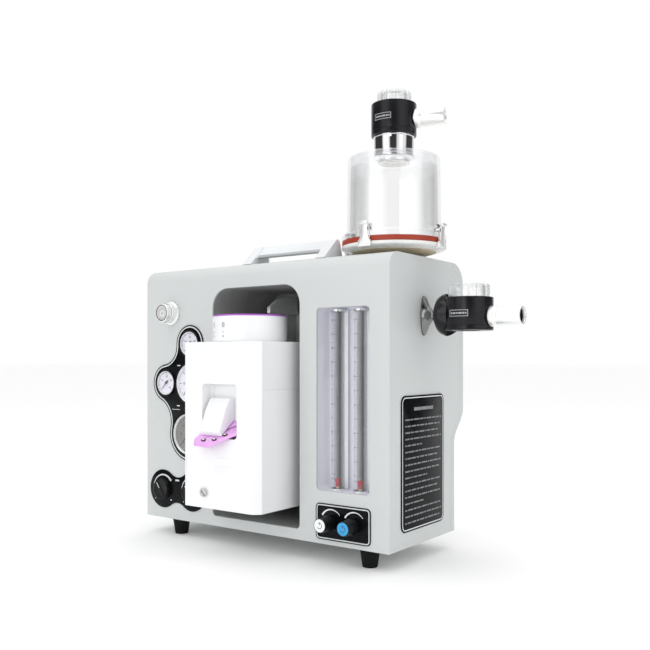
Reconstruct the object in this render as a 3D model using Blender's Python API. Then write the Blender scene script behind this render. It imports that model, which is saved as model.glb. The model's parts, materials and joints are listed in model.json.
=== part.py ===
"""Portable veterinary anaesthesia machine, modelled as an assembly of separate pieces.

Units are metres, +X is the user's right, +Y points to the back and +Z is up. The origin is
the middle of the whole object's box at the bottom. Places are worked out with at(x, y, z),
which measures from the case's lower front right corner: x to the left is negative, y runs
backwards from the front face and z upwards from the underside.
"""
from math import acos, atan2, cos, hypot, pi, radians, sin

import bmesh
import bpy
from mathutils import Matrix, Vector

# ---------------------------------------------------------------- driving dimensions
CASE_W = 0.426            # width of the case
CASE_H = 0.366            # height of the case without its feet
CASE_D = 0.198            # depth of the upper part of the case
LOW_D = 0.171             # depth of the lower part, below the step in the back
STEP_LOW, STEP_TOP = 0.121, 0.166      # heights between which the back steps out
FRONT_RADIUS = 0.020      # rounding of the top front edge
BACK_RADIUS = 0.031       # rounding of the top back edge
WALL = 0.003              # thickness of the case and of the back cover
BAND = 0.010              # how far the back cover wraps round onto the sides
GAP = 0.0003              # gap between neighbouring pieces
FOOT_H = 0.024            # height of a foot
FOOT_LOW_R, FOOT_TOP_R = 0.0095, 0.0132
FEET = {                  # name: (x, y)
    "foot_front_left": (-0.3725, 0.0195),
    "foot_front_right": (-0.0400, 0.0195),
    "foot_back_left": (-0.3210, 0.1515),
    "foot_back_right": (-0.1050, 0.1515),
}
PORT_REACH = 0.134        # the side valve's port beyond the case's right face
FRONT_REACH = 0.084       # the vaporizer's filler beyond the case's front face

BAY = (-0.291, -0.136, 0.014, 0.333)   # vaporizer bay opening: left, right, low, high
BAY_TOP_RADIUS, BAY_LOW_RADIUS = 0.027, 0.006
BAY_DEPTH = 0.130
LINER_T, LINER_BACK_T = 0.002, 0.0025        # thickness of the bay's lining and of its back
WINDOW = (-0.109, -0.0285, 0.0675, 0.3000)   # flow meter window
WINDOW_RADIUS = 0.006
WINDOW_DEPTH = 0.045
PLATE = (-0.109, -0.026, 0.006, 0.052)       # flow control plate
PLATE_RADIUS = 0.006
LABEL_T = 0.001           # thickness of the stuck-on plates
SIDE_LABEL = (0.0262, 0.1370, 0.0200, 0.1890)     # plate on the right side: front, back, low, high
SIDE_LABEL_RADIUS = 0.0095

HANDLE_X = (-0.2495, -0.1085)      # outer faces of the handle's legs
LEG_T = 0.015             # width of a leg
# Side view of a leg and of the grip between the legs, as (y, height above the case).
LEG_SIDE = [(0.016, 0.0), (0.059, 0.0), (0.0565, 0.010), (0.0535, 0.020),
            (0.0505, 0.0265), (0.045, 0.0265)]
GRIP_SIDE = [(0.0285, 0.0095), (0.0455, 0.0262), (0.0520, 0.0262), (0.0580, 0.0235),
             (0.0610, 0.0150), (0.0575, 0.0145), (0.0545, 0.0200), (0.0510, 0.0212),
             (0.0480, 0.0212), (0.0330, 0.0085)]

GAUGES = {                # name: (x, z, bezel radius)
    "gauge_top": (-0.3350, 0.2565, 0.0197),
    "gauge_left": (-0.3833, 0.1992, 0.0197),
    "gauge_middle": (-0.3310, 0.1990, 0.0310),
    "gauge_lower": (-0.3370, 0.1260, 0.0315),
}
GAUGE_BEZEL_T = 0.0040    # how far a bezel stands out of the front face
GAUGE_BODY_D = 0.028      # how far a gauge reaches inside
GAUGE_RIM = 0.0022        # width of the bezel round the dial
NEEDLE_Y = -0.0022        # middle of the needles, in front of the dials
NEEDLE_T = 0.0006         # thickness of a needle
# Plate lobes as (x, z, radius), counter-clockwise, and the fillet after each one.
GAUGE_LOBES = [(-0.3370, 0.1260, 0.0385), (-0.3310, 0.1990, 0.0360),
               (-0.3350, 0.2565, 0.0270), (-0.3833, 0.1992, 0.0272)]
GAUGE_FILLETS = [0.010, 0.020, 0.028, 0.035]
SELECTORS = [(-0.3895, 0.043), (-0.3310, 0.043)]
SELECTOR_LOBE_R = 0.028
SELECTOR_FILLET = 0.0218
SELECTOR_R, SELECTOR_T = 0.0155, 0.0088
SELECTOR_BLOCK = (-0.408, -0.312, 0.030, 0.056)   # block behind the selectors
FLUSH = (-0.3736, 0.3014)
FLUSH_HOLE_R = 0.0115
SHAFT_R, SHAFT_HOLE_R = 0.0030, 0.0045        # shafts of the knobs and their holes in the panel
SOCKET_R = 0.0036         # bores behind the panel that the selector shafts run in

FLOW_KNOBS = [(-0.0844, 0.029), (-0.0497, 0.029)]
FLOW_KNOB_R, FLOW_KNOB_FACE_R, FLOW_KNOB_T = 0.0099, 0.0092, 0.027
TUBE_XS = (-0.0865, -0.0520)
TUBE_Y = 0.016
TUBE_R, TUBE_BORE_R = 0.0085, 0.0045
TUBE_LOW, TUBE_HIGH = 0.0680, 0.2970
FLOAT_R, FLOAT_H = 0.0038, 0.013
FLOAT_REST = 0.0690
MANIFOLD = (-0.111, -0.0245, 0.008, 0.058)    # metal block behind the flow knobs

VAP = (-0.2805, -0.151)   # vaporizer's left and right sides
VAP_FRONT, VAP_BACK = -0.066, 0.060
VAP_LOW, VAP_HIGH = 0.040, 0.257
VAP_CHAMFER, VAP_EDGE = 0.0085, 0.0030       # chamfer of the right front corner and of the others
RECESS = (-0.246, -0.186, 0.1325, 0.202)      # filler recess: left, right, low, high
RECESS_D = 0.019
DIAL = (-0.2135, -0.009)  # dial's axis
DIAL_R, DIAL_TOP = 0.0505, 0.2927
SPINDLE_R, SPINDLE_D = 0.0105, 0.010          # the dial's boss in the vaporizer's top
DRAIN = (-0.2422, 0.0603)
NOSE_X, NOSE_FRONT = (-0.2415, -0.2065), -0.0715     # filler block: sides, front of its foot
TRAY_FRONT = (-0.083, 0.1262)     # depth and height of the tray's front edge
TRAY_SLOPE, TRAY_T = 0.80, 0.0045
MOUNT_X, MOUNT_Z = (-0.255, -0.172), (0.120, 0.180)      # the back bar
MOUNT_Y = 0.0960          # the back bar's front face
MOUNT_PLATE_T, MOUNT_PLATE_TOP = 0.0014, 0.3030          # the thin plate above the bar
LEVER_PIVOT = (-0.2365, 0.116, 0.312)
LEVER_T = 0.006
PIN_R = 0.0025            # the lever's pin
# Side view of the lever as (y, z).
LEVER_SIDE = [(0.0580, 0.2995), (0.0700, 0.2985), (0.1210, 0.3010), (0.1240, 0.3040),
              (0.1210, 0.3250), (0.0860, 0.3230), (0.0740, 0.3190), (0.0640, 0.3125),
              (0.0580, 0.3090)]

CAN = (-0.0515, 0.096)    # absorber's axis
FLANGE_R = 0.0695
DOME_R_LOW, DOME_R_HIGH, DOME_WALL = 0.0625, 0.0612, 0.0035
BASE_FLANGE = (0.3790, 0.3835)
GASKET = (0.3838, 0.3905)
DOME_FLANGE_TOP = 0.3975
DOME_TOP = 0.5010
NECK_HOLE_R = 0.0165
LATCH_ANGLES = {"front": -90, "right": 0, "back": 90, "left": 180}
LATCH_HALF = 0.0090       # half the width of a latch
VALVE_R = 0.0300          # radius of both black valve bodies
COLLAR_R = 0.0275
UPPER_RING = (0.5300, 0.5725)
UPPER_CAP_TOP = 0.5885
UPPER_PORT_Z = 0.5520
UPPER_PORT_TURN = radians(16)   # the upper port is turned this far to the back
PORT_R, PORT_BORE_R = 0.0112, 0.0080
UPPER_PORT_REACH = 0.0690
SEAT_TOP = 0.0100         # height of the disc's seat above a valve body's underside
DISC_R, DISC_T = 0.0185, 0.0010
CAP_LOBES, CAP_STEPS = 9, 36
CAP_SCALLOP, CAP_WALL = 0.0008, 0.0042
SIDE_VALVE = (0.0633, 0.083)    # side valve's axis
SIDE_RING = (0.2698, 0.3106)
SIDE_CAP_TOP = 0.3270
SIDE_PORT_Z = 0.2865
SIDE_STEM_Z = 0.2900
STEM_R, STEM_HOLE_R = 0.0060, 0.0065
OVAL_HALF, OVAL_TOP = 0.0076, 0.0120         # the stem's upright oval foot: half width, height
INLET = (-0.075, 0.070)   # oxygen inlet on the back, x and z
INLET_R = 0.0080

LARGE = 32                # segments round the absorber and the dial
ROUND = 24                # segments round a valve, a gauge or a big knob
SMALL = 16                # segments round a small circle
FINE = 12                 # segments round a shaft or a pin
ARC = 4                   # segments in a corner's arc

# The case's lower front right corner in the object's own frame.
CORNER = Vector(((CASE_W + PORT_REACH) / 2 - PORT_REACH, (FRONT_REACH - CASE_D) / 2, FOOT_H))


def at(x, y, z):
    """A place measured from the case's lower front right corner."""
    return CORNER + Vector((x, y, z))


# ---------------------------------------------------------------- materials
MATERIALS = {             # name: (colour, roughness, metallic)
    "shell_grey": ((0.60, 0.62, 0.64), 0.45, 0.0),
    "bay_grey": ((0.050, 0.055, 0.055), 0.50, 0.0),
    "rubber_black": ((0.012, 0.012, 0.013), 0.80, 0.0),
    "handle_grey": ((0.42, 0.45, 0.47), 0.50, 0.0),
    "plate_black": ((0.010, 0.011, 0.012), 0.35, 0.0),
    "knob_black": ((0.008, 0.008, 0.009), 0.30, 0.0),
    "gauge_black": ((0.02, 0.02, 0.022), 0.35, 0.0),
    "needle_black": ((0.02, 0.02, 0.02), 0.50, 0.0),
    "white_plastic": ((0.86, 0.87, 0.88), 0.30, 0.0),
    "lavender_panel": ((0.72, 0.72, 0.84), 0.40, 0.0),
    "clear_plastic": ((0.90, 0.92, 0.95), 0.05, 0.0),
    "tube_glass": ((0.88, 0.90, 0.96), 0.05, 0.0),
    "float_red": ((0.70, 0.03, 0.03), 0.35, 0.0),
    "purple": ((0.55, 0.18, 0.62), 0.35, 0.0),
    "aluminium": ((0.72, 0.73, 0.74), 0.35, 1.0),
    "steel": ((0.62, 0.62, 0.63), 0.28, 1.0),
    "chrome": ((0.78, 0.78, 0.80), 0.08, 1.0),
    "brass": ((0.70, 0.52, 0.22), 0.30, 1.0),
    "gasket_red": ((0.36, 0.05, 0.02), 0.60, 0.0),
    "disc_white": ((0.80, 0.78, 0.72), 0.40, 0.0),
}


def material(name):
    """The named material, made on first use."""
    found = bpy.data.materials.get(name)
    if found:
        return found
    colour, roughness, metallic = MATERIALS[name]
    made = bpy.data.materials.new(name)
    made.use_nodes = True
    shader = made.node_tree.nodes["Principled BSDF"]
    shader.inputs["Base Color"].default_value = (*colour, 1.0)
    shader.inputs["Roughness"].default_value = roughness
    shader.inputs["Metallic"].default_value = metallic
    made.diffuse_color = (*colour, 1.0)
    return made


# ---------------------------------------------------------------- outlines
def arc(cx, cy, radius, start, end, steps):
    """Points on an arc about (cx, cy), angles in radians."""
    angles = [start + (end - start) * i / steps for i in range(steps + 1)]
    return [(cx + radius * cos(a), cy + radius * sin(a)) for a in angles]


def circle(cx, cy, radius, steps):
    return arc(cx, cy, radius, 0.0, 2 * pi, steps)[:-1]


def rounded_rect(box, top_radius, low_radius=None, grow=0.0):
    """Counter-clockwise rectangle (left, right, low, high) with round corners."""
    low_radius = top_radius if low_radius is None else low_radius
    left, right, low, high = box[0] - grow, box[1] + grow, box[2] - grow, box[3] + grow
    top, bottom = top_radius + grow, low_radius + grow
    points = arc(left + bottom, low + bottom, bottom, pi, 1.5 * pi, ARC)
    points += arc(right - bottom, low + bottom, bottom, 1.5 * pi, 2 * pi, ARC)
    points += arc(right - top, high - top, top, 0.0, 0.5 * pi, ARC)
    points += arc(left + top, high - top, top, 0.5 * pi, pi, ARC)
    return points


def lobed_outline(lobes, fillets, inset=0.0):
    """Round lobes, counter-clockwise, joined by hollow fillets that touch both neighbours."""
    centres = []
    for (ax, ay, ar), (bx, by, br), fillet in zip(lobes, lobes[1:] + lobes[:1], fillets):
        span = hypot(bx - ax, by - ay)
        to_a, to_b = ar + fillet, br + fillet
        turn = acos((to_a ** 2 + span ** 2 - to_b ** 2) / (2 * to_a * span))
        angle = atan2(by - ay, bx - ax) - turn
        centres.append((ax + to_a * cos(angle), ay + to_a * sin(angle), fillet))
    points = []
    for i, (x, y, radius) in enumerate(lobes):
        before, after = centres[i - 1], centres[i]
        start = atan2(before[1] - y, before[0] - x)
        end = atan2(after[1] - y, after[0] - x)
        end += 2 * pi if end <= start else 0.0
        points += arc(x, y, radius - inset, start, end, max(4, int((end - start) * 3.5)))
        following = lobes[(i + 1) % len(lobes)]
        start = atan2(y - after[1], x - after[0])
        end = atan2(following[1] - after[1], following[0] - after[0])
        end -= 2 * pi if end > start else 0.0
        points += arc(*after[:2], after[2] + inset, start, end, 4)[1:-1]
    return points


def back_line(inset):
    """The case's back in side view as (y, z), bottom to top, moved in by inset."""
    points = [(LOW_D - inset, 0.0)]
    for i in range(ARC + 1):
        t = i / ARC
        y = LOW_D + (CASE_D - LOW_D) * (1 - cos(pi * t)) / 2
        points.append((y - inset, STEP_LOW + (STEP_TOP - STEP_LOW) * t))
    y, z = CASE_D - BACK_RADIUS, CASE_H - BACK_RADIUS
    return points + arc(y, z, BACK_RADIUS - inset, 0.0, 0.5 * pi, ARC)


def front_line(inset):
    """The case's front in side view as (y, z), top to bottom, moved in by inset."""
    y, z = FRONT_RADIUS, CASE_H - FRONT_RADIUS
    return arc(y, z, FRONT_RADIUS - inset, 0.5 * pi, pi, ARC) + [(inset, 0.0)]


# ---------------------------------------------------------------- solids
def finish(name, bm, paint, origin, rotation=None):
    """Make a named object from a closed mesh, with its own origin and turn."""
    bmesh.ops.remove_doubles(bm, verts=bm.verts, dist=1e-6)
    bmesh.ops.recalc_face_normals(bm, faces=bm.faces)
    mesh = bpy.data.meshes.new(name)
    bm.to_mesh(mesh)
    bm.free()
    mesh.materials.append(material(paint))
    mesh.shade_smooth()
    mesh.set_sharp_from_angle(angle=radians(32))
    made = bpy.data.objects.new(name, mesh)
    bpy.context.collection.objects.link(made)
    made.location = origin
    if rotation:
        made.rotation_euler = rotation
    return made


def skinned(rows):
    """A closed mesh over rows of points that all have the same count, with flat ends."""
    bm = bmesh.new()
    made = [[bm.verts.new(point) for point in row] for row in rows]
    count = len(made[0])
    for lower, upper in zip(made, made[1:]):
        for i in range(count):
            j = (i + 1) % count
            bm.faces.new((lower[i], lower[j], upper[j], upper[i]))
    bm.faces.new(made[0])
    bm.faces.new(made[-1])
    return bm


AXES = {                  # a point of an outline at a distance t along the axis
    "x": lambda a, b, t: (t, a, b),
    "y": lambda a, b, t: (a, t, b),
    "z": lambda a, b, t: (a, b, t),
}


def prism(name, outline, low, high, axis, paint, origin=None):
    """Extrude an outline along an axis between low and high, placed from the case's corner."""
    place = AXES[axis]
    bm = skinned([[place(a, b, t) for a, b in outline] for t in (low, high)])
    shift = Vector(origin) if origin else Vector()
    bmesh.ops.translate(bm, verts=bm.verts, vec=-shift)
    return finish(name, bm, paint, CORNER + shift)


def turned(name, profile, steps, paint, origin, rotation=None, ring=False):
    """Turn (radius, height) points about the local Z axis; ring closes the profile."""
    bm = bmesh.new()
    rings = []
    for radius, height in profile:
        if radius < 1e-7:
            rings.append([bm.verts.new((0.0, 0.0, height))] * steps)
        else:
            rings.append([bm.verts.new((x, y, height)) for x, y in circle(0, 0, radius, steps)])
    following = rings[1:] + rings[:1] if ring else rings[1:]
    for lower, upper in zip(rings, following):
        for i in range(steps):
            j = (i + 1) % steps
            corners = dict.fromkeys((lower[i], lower[j], upper[j], upper[i]))
            if len(corners) > 2:
                bm.faces.new(list(corners))
    return finish(name, bm, paint, at(*origin), rotation)


def box_outline(a0, a1, b0, b1):
    return [(a0, b0), (a1, b0), (a1, b1), (a0, b1)]


def combine(body, tools, operation="DIFFERENCE", solver="EXACT"):
    """Cut each tool out of a body, or join it on. The tools stay as wire guides."""
    for tool in tools:
        tool.hide_render = True
        tool.display_type = "WIRE"
        tool.hide_set(True)
        step = body.modifiers.new(operation.title(), "BOOLEAN")
        step.operation = operation
        step.object = tool
        step.solver = solver
    return body


FACING_FRONT = (radians(90), 0.0, 0.0)       # turns local +Z to the front
FACING_BACK = (radians(-90), 0.0, 0.0)       # turns local +Z to the back
FACING_RIGHT = (0.0, radians(90), 0.0)       # turns local +Z to the right
THROUGH = 0.01            # how far a cutter reaches past each side of a panel


def hole(name, x, z, radius, steps=SMALL, near=-THROUGH, far=THROUGH):
    """A round cutter along y, by default through the front panel."""
    return prism(name, circle(x, z, radius, steps), near, far, "y", "shell_grey")


def gauge_steps(radius):
    """Segments round a gauge, and round the holes it sits in."""
    return ROUND if radius > 0.025 else 20


# ---------------------------------------------------------------- case
def make_case():
    inner = back_line(WALL)
    inner[0] = (LOW_D - WALL, WALL)
    inner += front_line(WALL)
    inner[-1] = (WALL, WALL)
    seam = BAND + GAP
    shell = back_line(seam)
    shell[-1] = (CASE_D - BACK_RADIUS - GAP, CASE_H - seam)
    shell.append((CASE_D - BACK_RADIUS - GAP, CASE_H))
    shell += front_line(0.0)
    body = prism("case_shell", shell, -CASE_W, 0.0, "x", "shell_grey")
    bay = rounded_rect(BAY, BAY_TOP_RADIUS, BAY_LOW_RADIUS)
    window = rounded_rect(WINDOW, WINDOW_RADIUS)
    neck = circle(*CAN, NECK_HOLE_R, SMALL)
    stem = circle(SIDE_VALVE[1], SIDE_STEM_Z, STEM_HOLE_R, SMALL)
    cutters = [
        prism("cut_case_inside", inner, WALL - CASE_W, -WALL, "x", "shell_grey"),
        prism("cut_bay", bay, -THROUGH, THROUGH, "y", "bay_grey"),
        prism("cut_window", window, -THROUGH, THROUGH, "y", "bay_grey"),
        prism("cut_neck", neck, CASE_H - THROUGH, CASE_H + THROUGH, "z", "shell_grey"),
        prism("cut_stem", stem, -THROUGH, THROUGH, "x", "shell_grey"),
        hole("cut_flush", *FLUSH, FLUSH_HOLE_R, ROUND),
    ]
    for name, (x, z, radius) in GAUGES.items():
        cutters.append(hole("cut_" + name, x, z, radius - GAUGE_RIM, gauge_steps(radius)))
    for x, z in SELECTORS + FLOW_KNOBS:
        cutters.append(hole("cut_shaft", x, z, SHAFT_HOLE_R, FINE))
    combine(body, cutters)

    band = back_line(0.0) + back_line(BAND)[::-1]
    cover = prism("rear_cover", band, -CASE_W, 0.0, "x", "shell_grey")
    inside = prism("cut_cover_inside", inner, WALL - CASE_W, -WALL, "x", "shell_grey")
    inlet = hole("cut_inlet", *INLET, INLET_R + 0.0005, SMALL, LOW_D - THROUGH, LOW_D + THROUGH)
    combine(cover, [inside, inlet])


def make_bay():
    outline = rounded_rect(BAY, BAY_TOP_RADIUS, BAY_LOW_RADIUS, grow=LINER_T)
    liner = prism("bay_liner", outline, WALL + GAP, BAY_DEPTH, "y", "bay_grey")
    opening = rounded_rect(BAY, BAY_TOP_RADIUS, BAY_LOW_RADIUS)
    combine(liner, [prism("cut_liner", opening, -THROUGH, BAY_DEPTH - LINER_BACK_T, "y", "bay_grey")])


def make_feet():
    profile = [(0.0, -FOOT_H), (FOOT_LOW_R, -FOOT_H), (FOOT_LOW_R + 0.0011, 0.0015 - FOOT_H),
               (FOOT_TOP_R, -0.002), (FOOT_TOP_R, -GAP), (0.0, -GAP)]
    for name, (x, y) in FEET.items():
        turned(name, profile, SMALL, "rubber_black", (x, y, 0.0))


def make_handle():
    base = CASE_H + GAP
    leg = [(y, base + z) for y, z in LEG_SIDE]
    grip = [(y, base + z) for y, z in GRIP_SIDE]
    left, right = HANDLE_X
    body = prism("carry_handle", leg, left, left + LEG_T, "x", "handle_grey")
    other = prism("join_leg", leg, right - LEG_T, right, "x", "handle_grey")
    bar = prism("join_grip", grip, left + LEG_T - 0.002, right - LEG_T + 0.002, "x", "handle_grey")
    combine(body, [bar, other], "UNION")


# ---------------------------------------------------------------- front panel fittings
def make_gauges():
    outline = lobed_outline(GAUGE_LOBES, GAUGE_FILLETS)
    label = prism("gauge_label", outline, -GAP - LABEL_T, -GAP, "y", "plate_black")
    combine(label, [hole("cut_label", x, z, r + GAP, gauge_steps(r)) for x, z, r in GAUGES.values()])
    for name, (x, z, radius) in GAUGES.items():
        body = radius - 0.0025
        dial = radius - GAUGE_RIM
        profile = [(0.0, -GAUGE_BODY_D), (0.006, -GAUGE_BODY_D), (0.006, -0.020), (body, -0.018),
                   (body, GAP), (radius, GAP), (radius, GAUGE_BEZEL_T - 0.0008),
                   (radius - 0.0008, GAUGE_BEZEL_T), (dial, GAUGE_BEZEL_T),
                   (dial, 0.0008), (0.0, 0.0008)]
        turned(name, profile, gauge_steps(radius), "gauge_black", (x, 0.0, z), FACING_FRONT)
        make_needle(name.replace("gauge", "needle"), x, z, dial)


def make_needle(name, x, z, dial):
    """A pointer lying on its zero stop, turning about the dial's centre."""
    reach, tail, hub = dial * 0.78, dial * 0.28, dial * 0.12
    zero = radians(225)
    along, across = (cos(zero), sin(zero)), (-sin(zero), cos(zero))
    shape = [(reach, 0.0), (hub, 0.0006), (0.0, hub), (-tail, 0.0009), (-tail, -0.0009),
             (0.0, -hub), (hub, -0.0006)]
    outline = [(x + u * along[0] + v * across[0], z + u * along[1] + v * across[1]) for u, v in shape]
    prism(name, outline, NEEDLE_Y - NEEDLE_T / 2, NEEDLE_Y + NEEDLE_T / 2, "y", "needle_black",
          (x, NEEDLE_Y, z))


def make_selectors():
    lobes = [(x, z, SELECTOR_LOBE_R) for x, z in SELECTORS]
    outline = lobed_outline(lobes, [SELECTOR_FILLET] * 2)
    label = prism("selector_label", outline, -GAP - LABEL_T, -GAP, "y", "plate_black")
    combine(label, [hole("cut_selector_label", x, z, SHAFT_HOLE_R, FINE) for x, z in SELECTORS])
    block = prism("selector_block", box_outline(*SELECTOR_BLOCK), WALL + GAP, 0.032, "y", "aluminium")
    combine(block, [hole("cut_block", x, z, SOCKET_R, FINE, 0.0, 0.022) for x, z in SELECTORS])
    back = LABEL_T + 2 * GAP
    for name, (x, z) in zip(("selector_knob_left", "selector_knob_right"), SELECTORS):
        profile = [(0.0, -0.020), (SHAFT_R, -0.020), (SHAFT_R, back), (SELECTOR_R, back),
                   (SELECTOR_R - 0.0006, SELECTOR_T - 0.0010), (SELECTOR_R - 0.0016, SELECTOR_T),
                   (0.0, SELECTOR_T)]
        turned(name, profile, ROUND, "knob_black", (x, 0.0, z), FACING_FRONT)


def make_flush():
    x, z = FLUSH
    bezel = [(0.0, -0.034), (0.0070, -0.034), (0.0070, -0.018), (0.0112, -0.018), (0.0112, GAP),
             (0.0172, GAP), (0.0172, 0.0035), (0.0150, 0.0055), (0.0150, 0.0110), (0.0142, 0.0120),
             (0.0136, 0.0120), (0.0136, 0.0010), (0.0040, 0.0010), (0.0040, -0.012), (0.0, -0.012)]
    turned("flush_valve", bezel, ROUND, "aluminium", (x, 0.0, z), FACING_FRONT)
    face = 0.0200
    button = [(0.0, -0.0060), (0.0035, -0.0060), (0.0035, 0.0080), (0.0132, 0.0080),
              (0.0132, face - 0.0012), (0.0120, face), (0.0100, face), (0.0095, face - 0.0008),
              (0.0, face - 0.0008)]
    turned("flush_button", button, ROUND, "chrome", (x, 0.0, z), FACING_FRONT)


# ---------------------------------------------------------------- flow meters
def make_flow_meters():
    low, high = WINDOW[2] - 0.005, WINDOW[3] + 0.004
    outer = box_outline(WINDOW[0] - 0.004, WINDOW[1] + 0.004, low, high)
    housing = prism("flow_housing", outer, WALL + GAP, WINDOW_DEPTH, "y", "lavender_panel")
    pocket = prism("cut_pocket", rounded_rect(WINDOW, WINDOW_RADIUS), 0.0, WINDOW_DEPTH - 0.014,
                   "y", "lavender_panel")
    combine(housing, [pocket])
    pane = rounded_rect(WINDOW, WINDOW_RADIUS, grow=-GAP)
    prism("flow_window", pane, 0.0006, 0.0026, "y", "clear_plastic")
    for side, x in zip(("left", "right"), TUBE_XS):
        wall = [(TUBE_R, TUBE_LOW), (TUBE_R, TUBE_HIGH),
                (TUBE_BORE_R, TUBE_HIGH), (TUBE_BORE_R, TUBE_LOW)]
        turned("flow_tube_" + side, wall, SMALL, "tube_glass", (x, TUBE_Y, 0.0), ring=True)
        bob = [(0.0, 0.0), (FLOAT_R * 0.55, 0.0), (FLOAT_R * 0.75, 0.008), (FLOAT_R, 0.010),
               (FLOAT_R, FLOAT_H), (0.0, FLOAT_H)]
        turned("float_" + side, bob, FINE, "float_red", (x, TUBE_Y, FLOAT_REST))
    base = prism("flow_manifold", box_outline(*MANIFOLD), WALL + 0.002, WINDOW_DEPTH, "y", "aluminium")
    combine(base, [hole("cut_manifold", x, z, SHAFT_R + 0.0004, FINE, 0.0, 0.026)
                   for x, z in FLOW_KNOBS])
    plate = prism("control_plate", rounded_rect(PLATE, PLATE_RADIUS), -GAP - LABEL_T, -GAP,
                  "y", "plate_black")
    combine(plate, [hole("cut_plate", x, z, SHAFT_HOLE_R, FINE) for x, z in FLOW_KNOBS])
    back = LABEL_T + 2 * GAP
    for side, (x, z) in zip(("left", "right"), FLOW_KNOBS):
        profile = [(0.0, -0.024), (SHAFT_R, -0.024), (SHAFT_R, back), (0.0075, back),
                   (FLOW_KNOB_R, 0.008), (FLOW_KNOB_R, 0.012), (FLOW_KNOB_FACE_R, FLOW_KNOB_T - 0.001),
                   (FLOW_KNOB_FACE_R - 0.001, FLOW_KNOB_T), (0.0, FLOW_KNOB_T)]
        turned("flow_knob_" + side, profile, 20, "knob_black", (x, 0.0, z), FACING_FRONT)


def make_side_label():
    """The instruction plate on the right side, lettering left off."""
    prism("side_label", rounded_rect(SIDE_LABEL, SIDE_LABEL_RADIUS), GAP, GAP + LABEL_T, "x",
          "plate_black")


# ---------------------------------------------------------------- vaporizer
def make_vaporizer():
    left, right = VAP
    wide, small = VAP_CHAMFER, VAP_EDGE
    plan = [(left + small, VAP_FRONT), (right - wide, VAP_FRONT),
            (right, VAP_FRONT + wide), (right, VAP_BACK - small),
            (right - small, VAP_BACK), (left + small, VAP_BACK),
            (left, VAP_BACK - small), (left, VAP_FRONT + small)]
    body = prism("vaporizer_body", plan, VAP_LOW, VAP_HIGH, "z", "white_plastic")
    recess = prism("cut_recess", rounded_rect(RECESS, 0.004), VAP_FRONT - THROUGH,
                   VAP_FRONT + RECESS_D, "y", "white_plastic")
    spindle = prism("cut_spindle", circle(*DIAL, SPINDLE_R + 0.0005, SMALL),
                    VAP_HIGH - SPINDLE_D - 0.002, VAP_HIGH + THROUGH, "z", "white_plastic")
    drain = hole("cut_drain", *DRAIN, 0.0042, FINE, VAP_FRONT - THROUGH, VAP_FRONT + 0.016)
    combine(body, [recess, spindle, drain])

    low = VAP_HIGH + GAP
    dial = [(0.0, low - SPINDLE_D), (SPINDLE_R, low - SPINDLE_D), (SPINDLE_R, low), (DIAL_R, low),
            (DIAL_R - 0.0006, DIAL_TOP - 0.002), (DIAL_R - 0.0022, DIAL_TOP), (0.020, DIAL_TOP),
            (0.018, DIAL_TOP - 0.002), (0.0, DIAL_TOP - 0.002)]
    turned("vaporizer_dial", dial, LARGE, "white_plastic", (*DIAL, 0.0))

    floor = VAP_FRONT + RECESS_D
    nose = [(floor - GAP, tray_height(floor) + GAP), (floor - GAP, 0.185), (-0.0560, 0.183),
            (-0.0640, 0.170), (-0.0710, 0.153), (-0.0755, 0.1415),
            (NOSE_FRONT, tray_height(NOSE_FRONT) + GAP)]
    prism("filler_block", nose, *NOSE_X, "x", "white_plastic")
    make_filler_tray()

    screw = [(0.0, -0.012), (0.0038, -0.012), (0.0038, GAP), (0.0056, GAP), (0.0056, 0.0030),
             (0.0048, 0.0038), (0.0, 0.0038)]
    x, z = DRAIN
    turned("drain_screw", screw, 16, "steel", (x, VAP_FRONT, z), FACING_FRONT)


def tray_height(y):
    """Height of the tray's top face at a depth y."""
    return TRAY_FRONT[1] + TRAY_SLOPE * (y - TRAY_FRONT[0])


def make_filler_tray():
    """The coloured lip under the filler block: a sloping plate, low at the front."""
    plan = [(-0.2455, -0.0475), (-0.2455, -0.0668), (-0.2500, -0.0775), (-0.2445, -0.0830),
            (-0.2180, -0.0840), (-0.2130, -0.0805), (-0.1930, -0.0672), (-0.1865, -0.0640),
            (-0.1865, -0.0475)]
    rows = [[(x, y, tray_height(y) - drop) for x, y in plan] for drop in (TRAY_T, 0.0)]
    finish("filler_tray", skinned(rows), "purple", CORNER.copy())


def make_vaporizer_mount():
    """The back bar that carries the vaporizer, the plate above it and the lock lever's pivot."""
    back = BAY_DEPTH - LINER_BACK_T - GAP
    pin_x, pin_y, pin_z = LEVER_PIVOT
    left, right = MOUNT_X
    inside = 0.001
    bar = prism("vaporizer_mount", box_outline(left, right, *MOUNT_Z), MOUNT_Y, back, "y", "aluminium")
    posts = [prism("join_post", circle(x, 0.150, 0.010, SMALL), VAP_BACK + GAP, MOUNT_Y + 0.002,
                   "y", "steel") for x in (-0.2400, -0.1870)]
    plate = prism("join_plate", box_outline(left, right, MOUNT_Z[1] - inside, MOUNT_PLATE_TOP),
                  back - MOUNT_PLATE_T, back, "y", "aluminium")
    ear_x = pin_x - LEVER_T / 2 - 0.0005
    ear = prism("join_ear", box_outline(0.1050, back, MOUNT_Z[1] - inside, 0.3200), ear_x - 0.0045,
                ear_x, "x", "aluminium")
    pin = prism("join_pin", circle(pin_y, pin_z, PIN_R, FINE), ear_x - inside,
                pin_x + LEVER_T / 2 + inside, "x", "steel")
    combine(bar, posts + [plate, ear, pin], "UNION")
    lever = prism("lock_lever", LEVER_SIDE, pin_x - LEVER_T / 2, pin_x + LEVER_T / 2, "x", "steel",
                  LEVER_PIVOT)
    bore = prism("cut_lever", circle(pin_y, pin_z, PIN_R + GAP, FINE), pin_x - THROUGH,
                 pin_x + THROUGH, "x", "steel")
    combine(lever, [bore])


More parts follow.
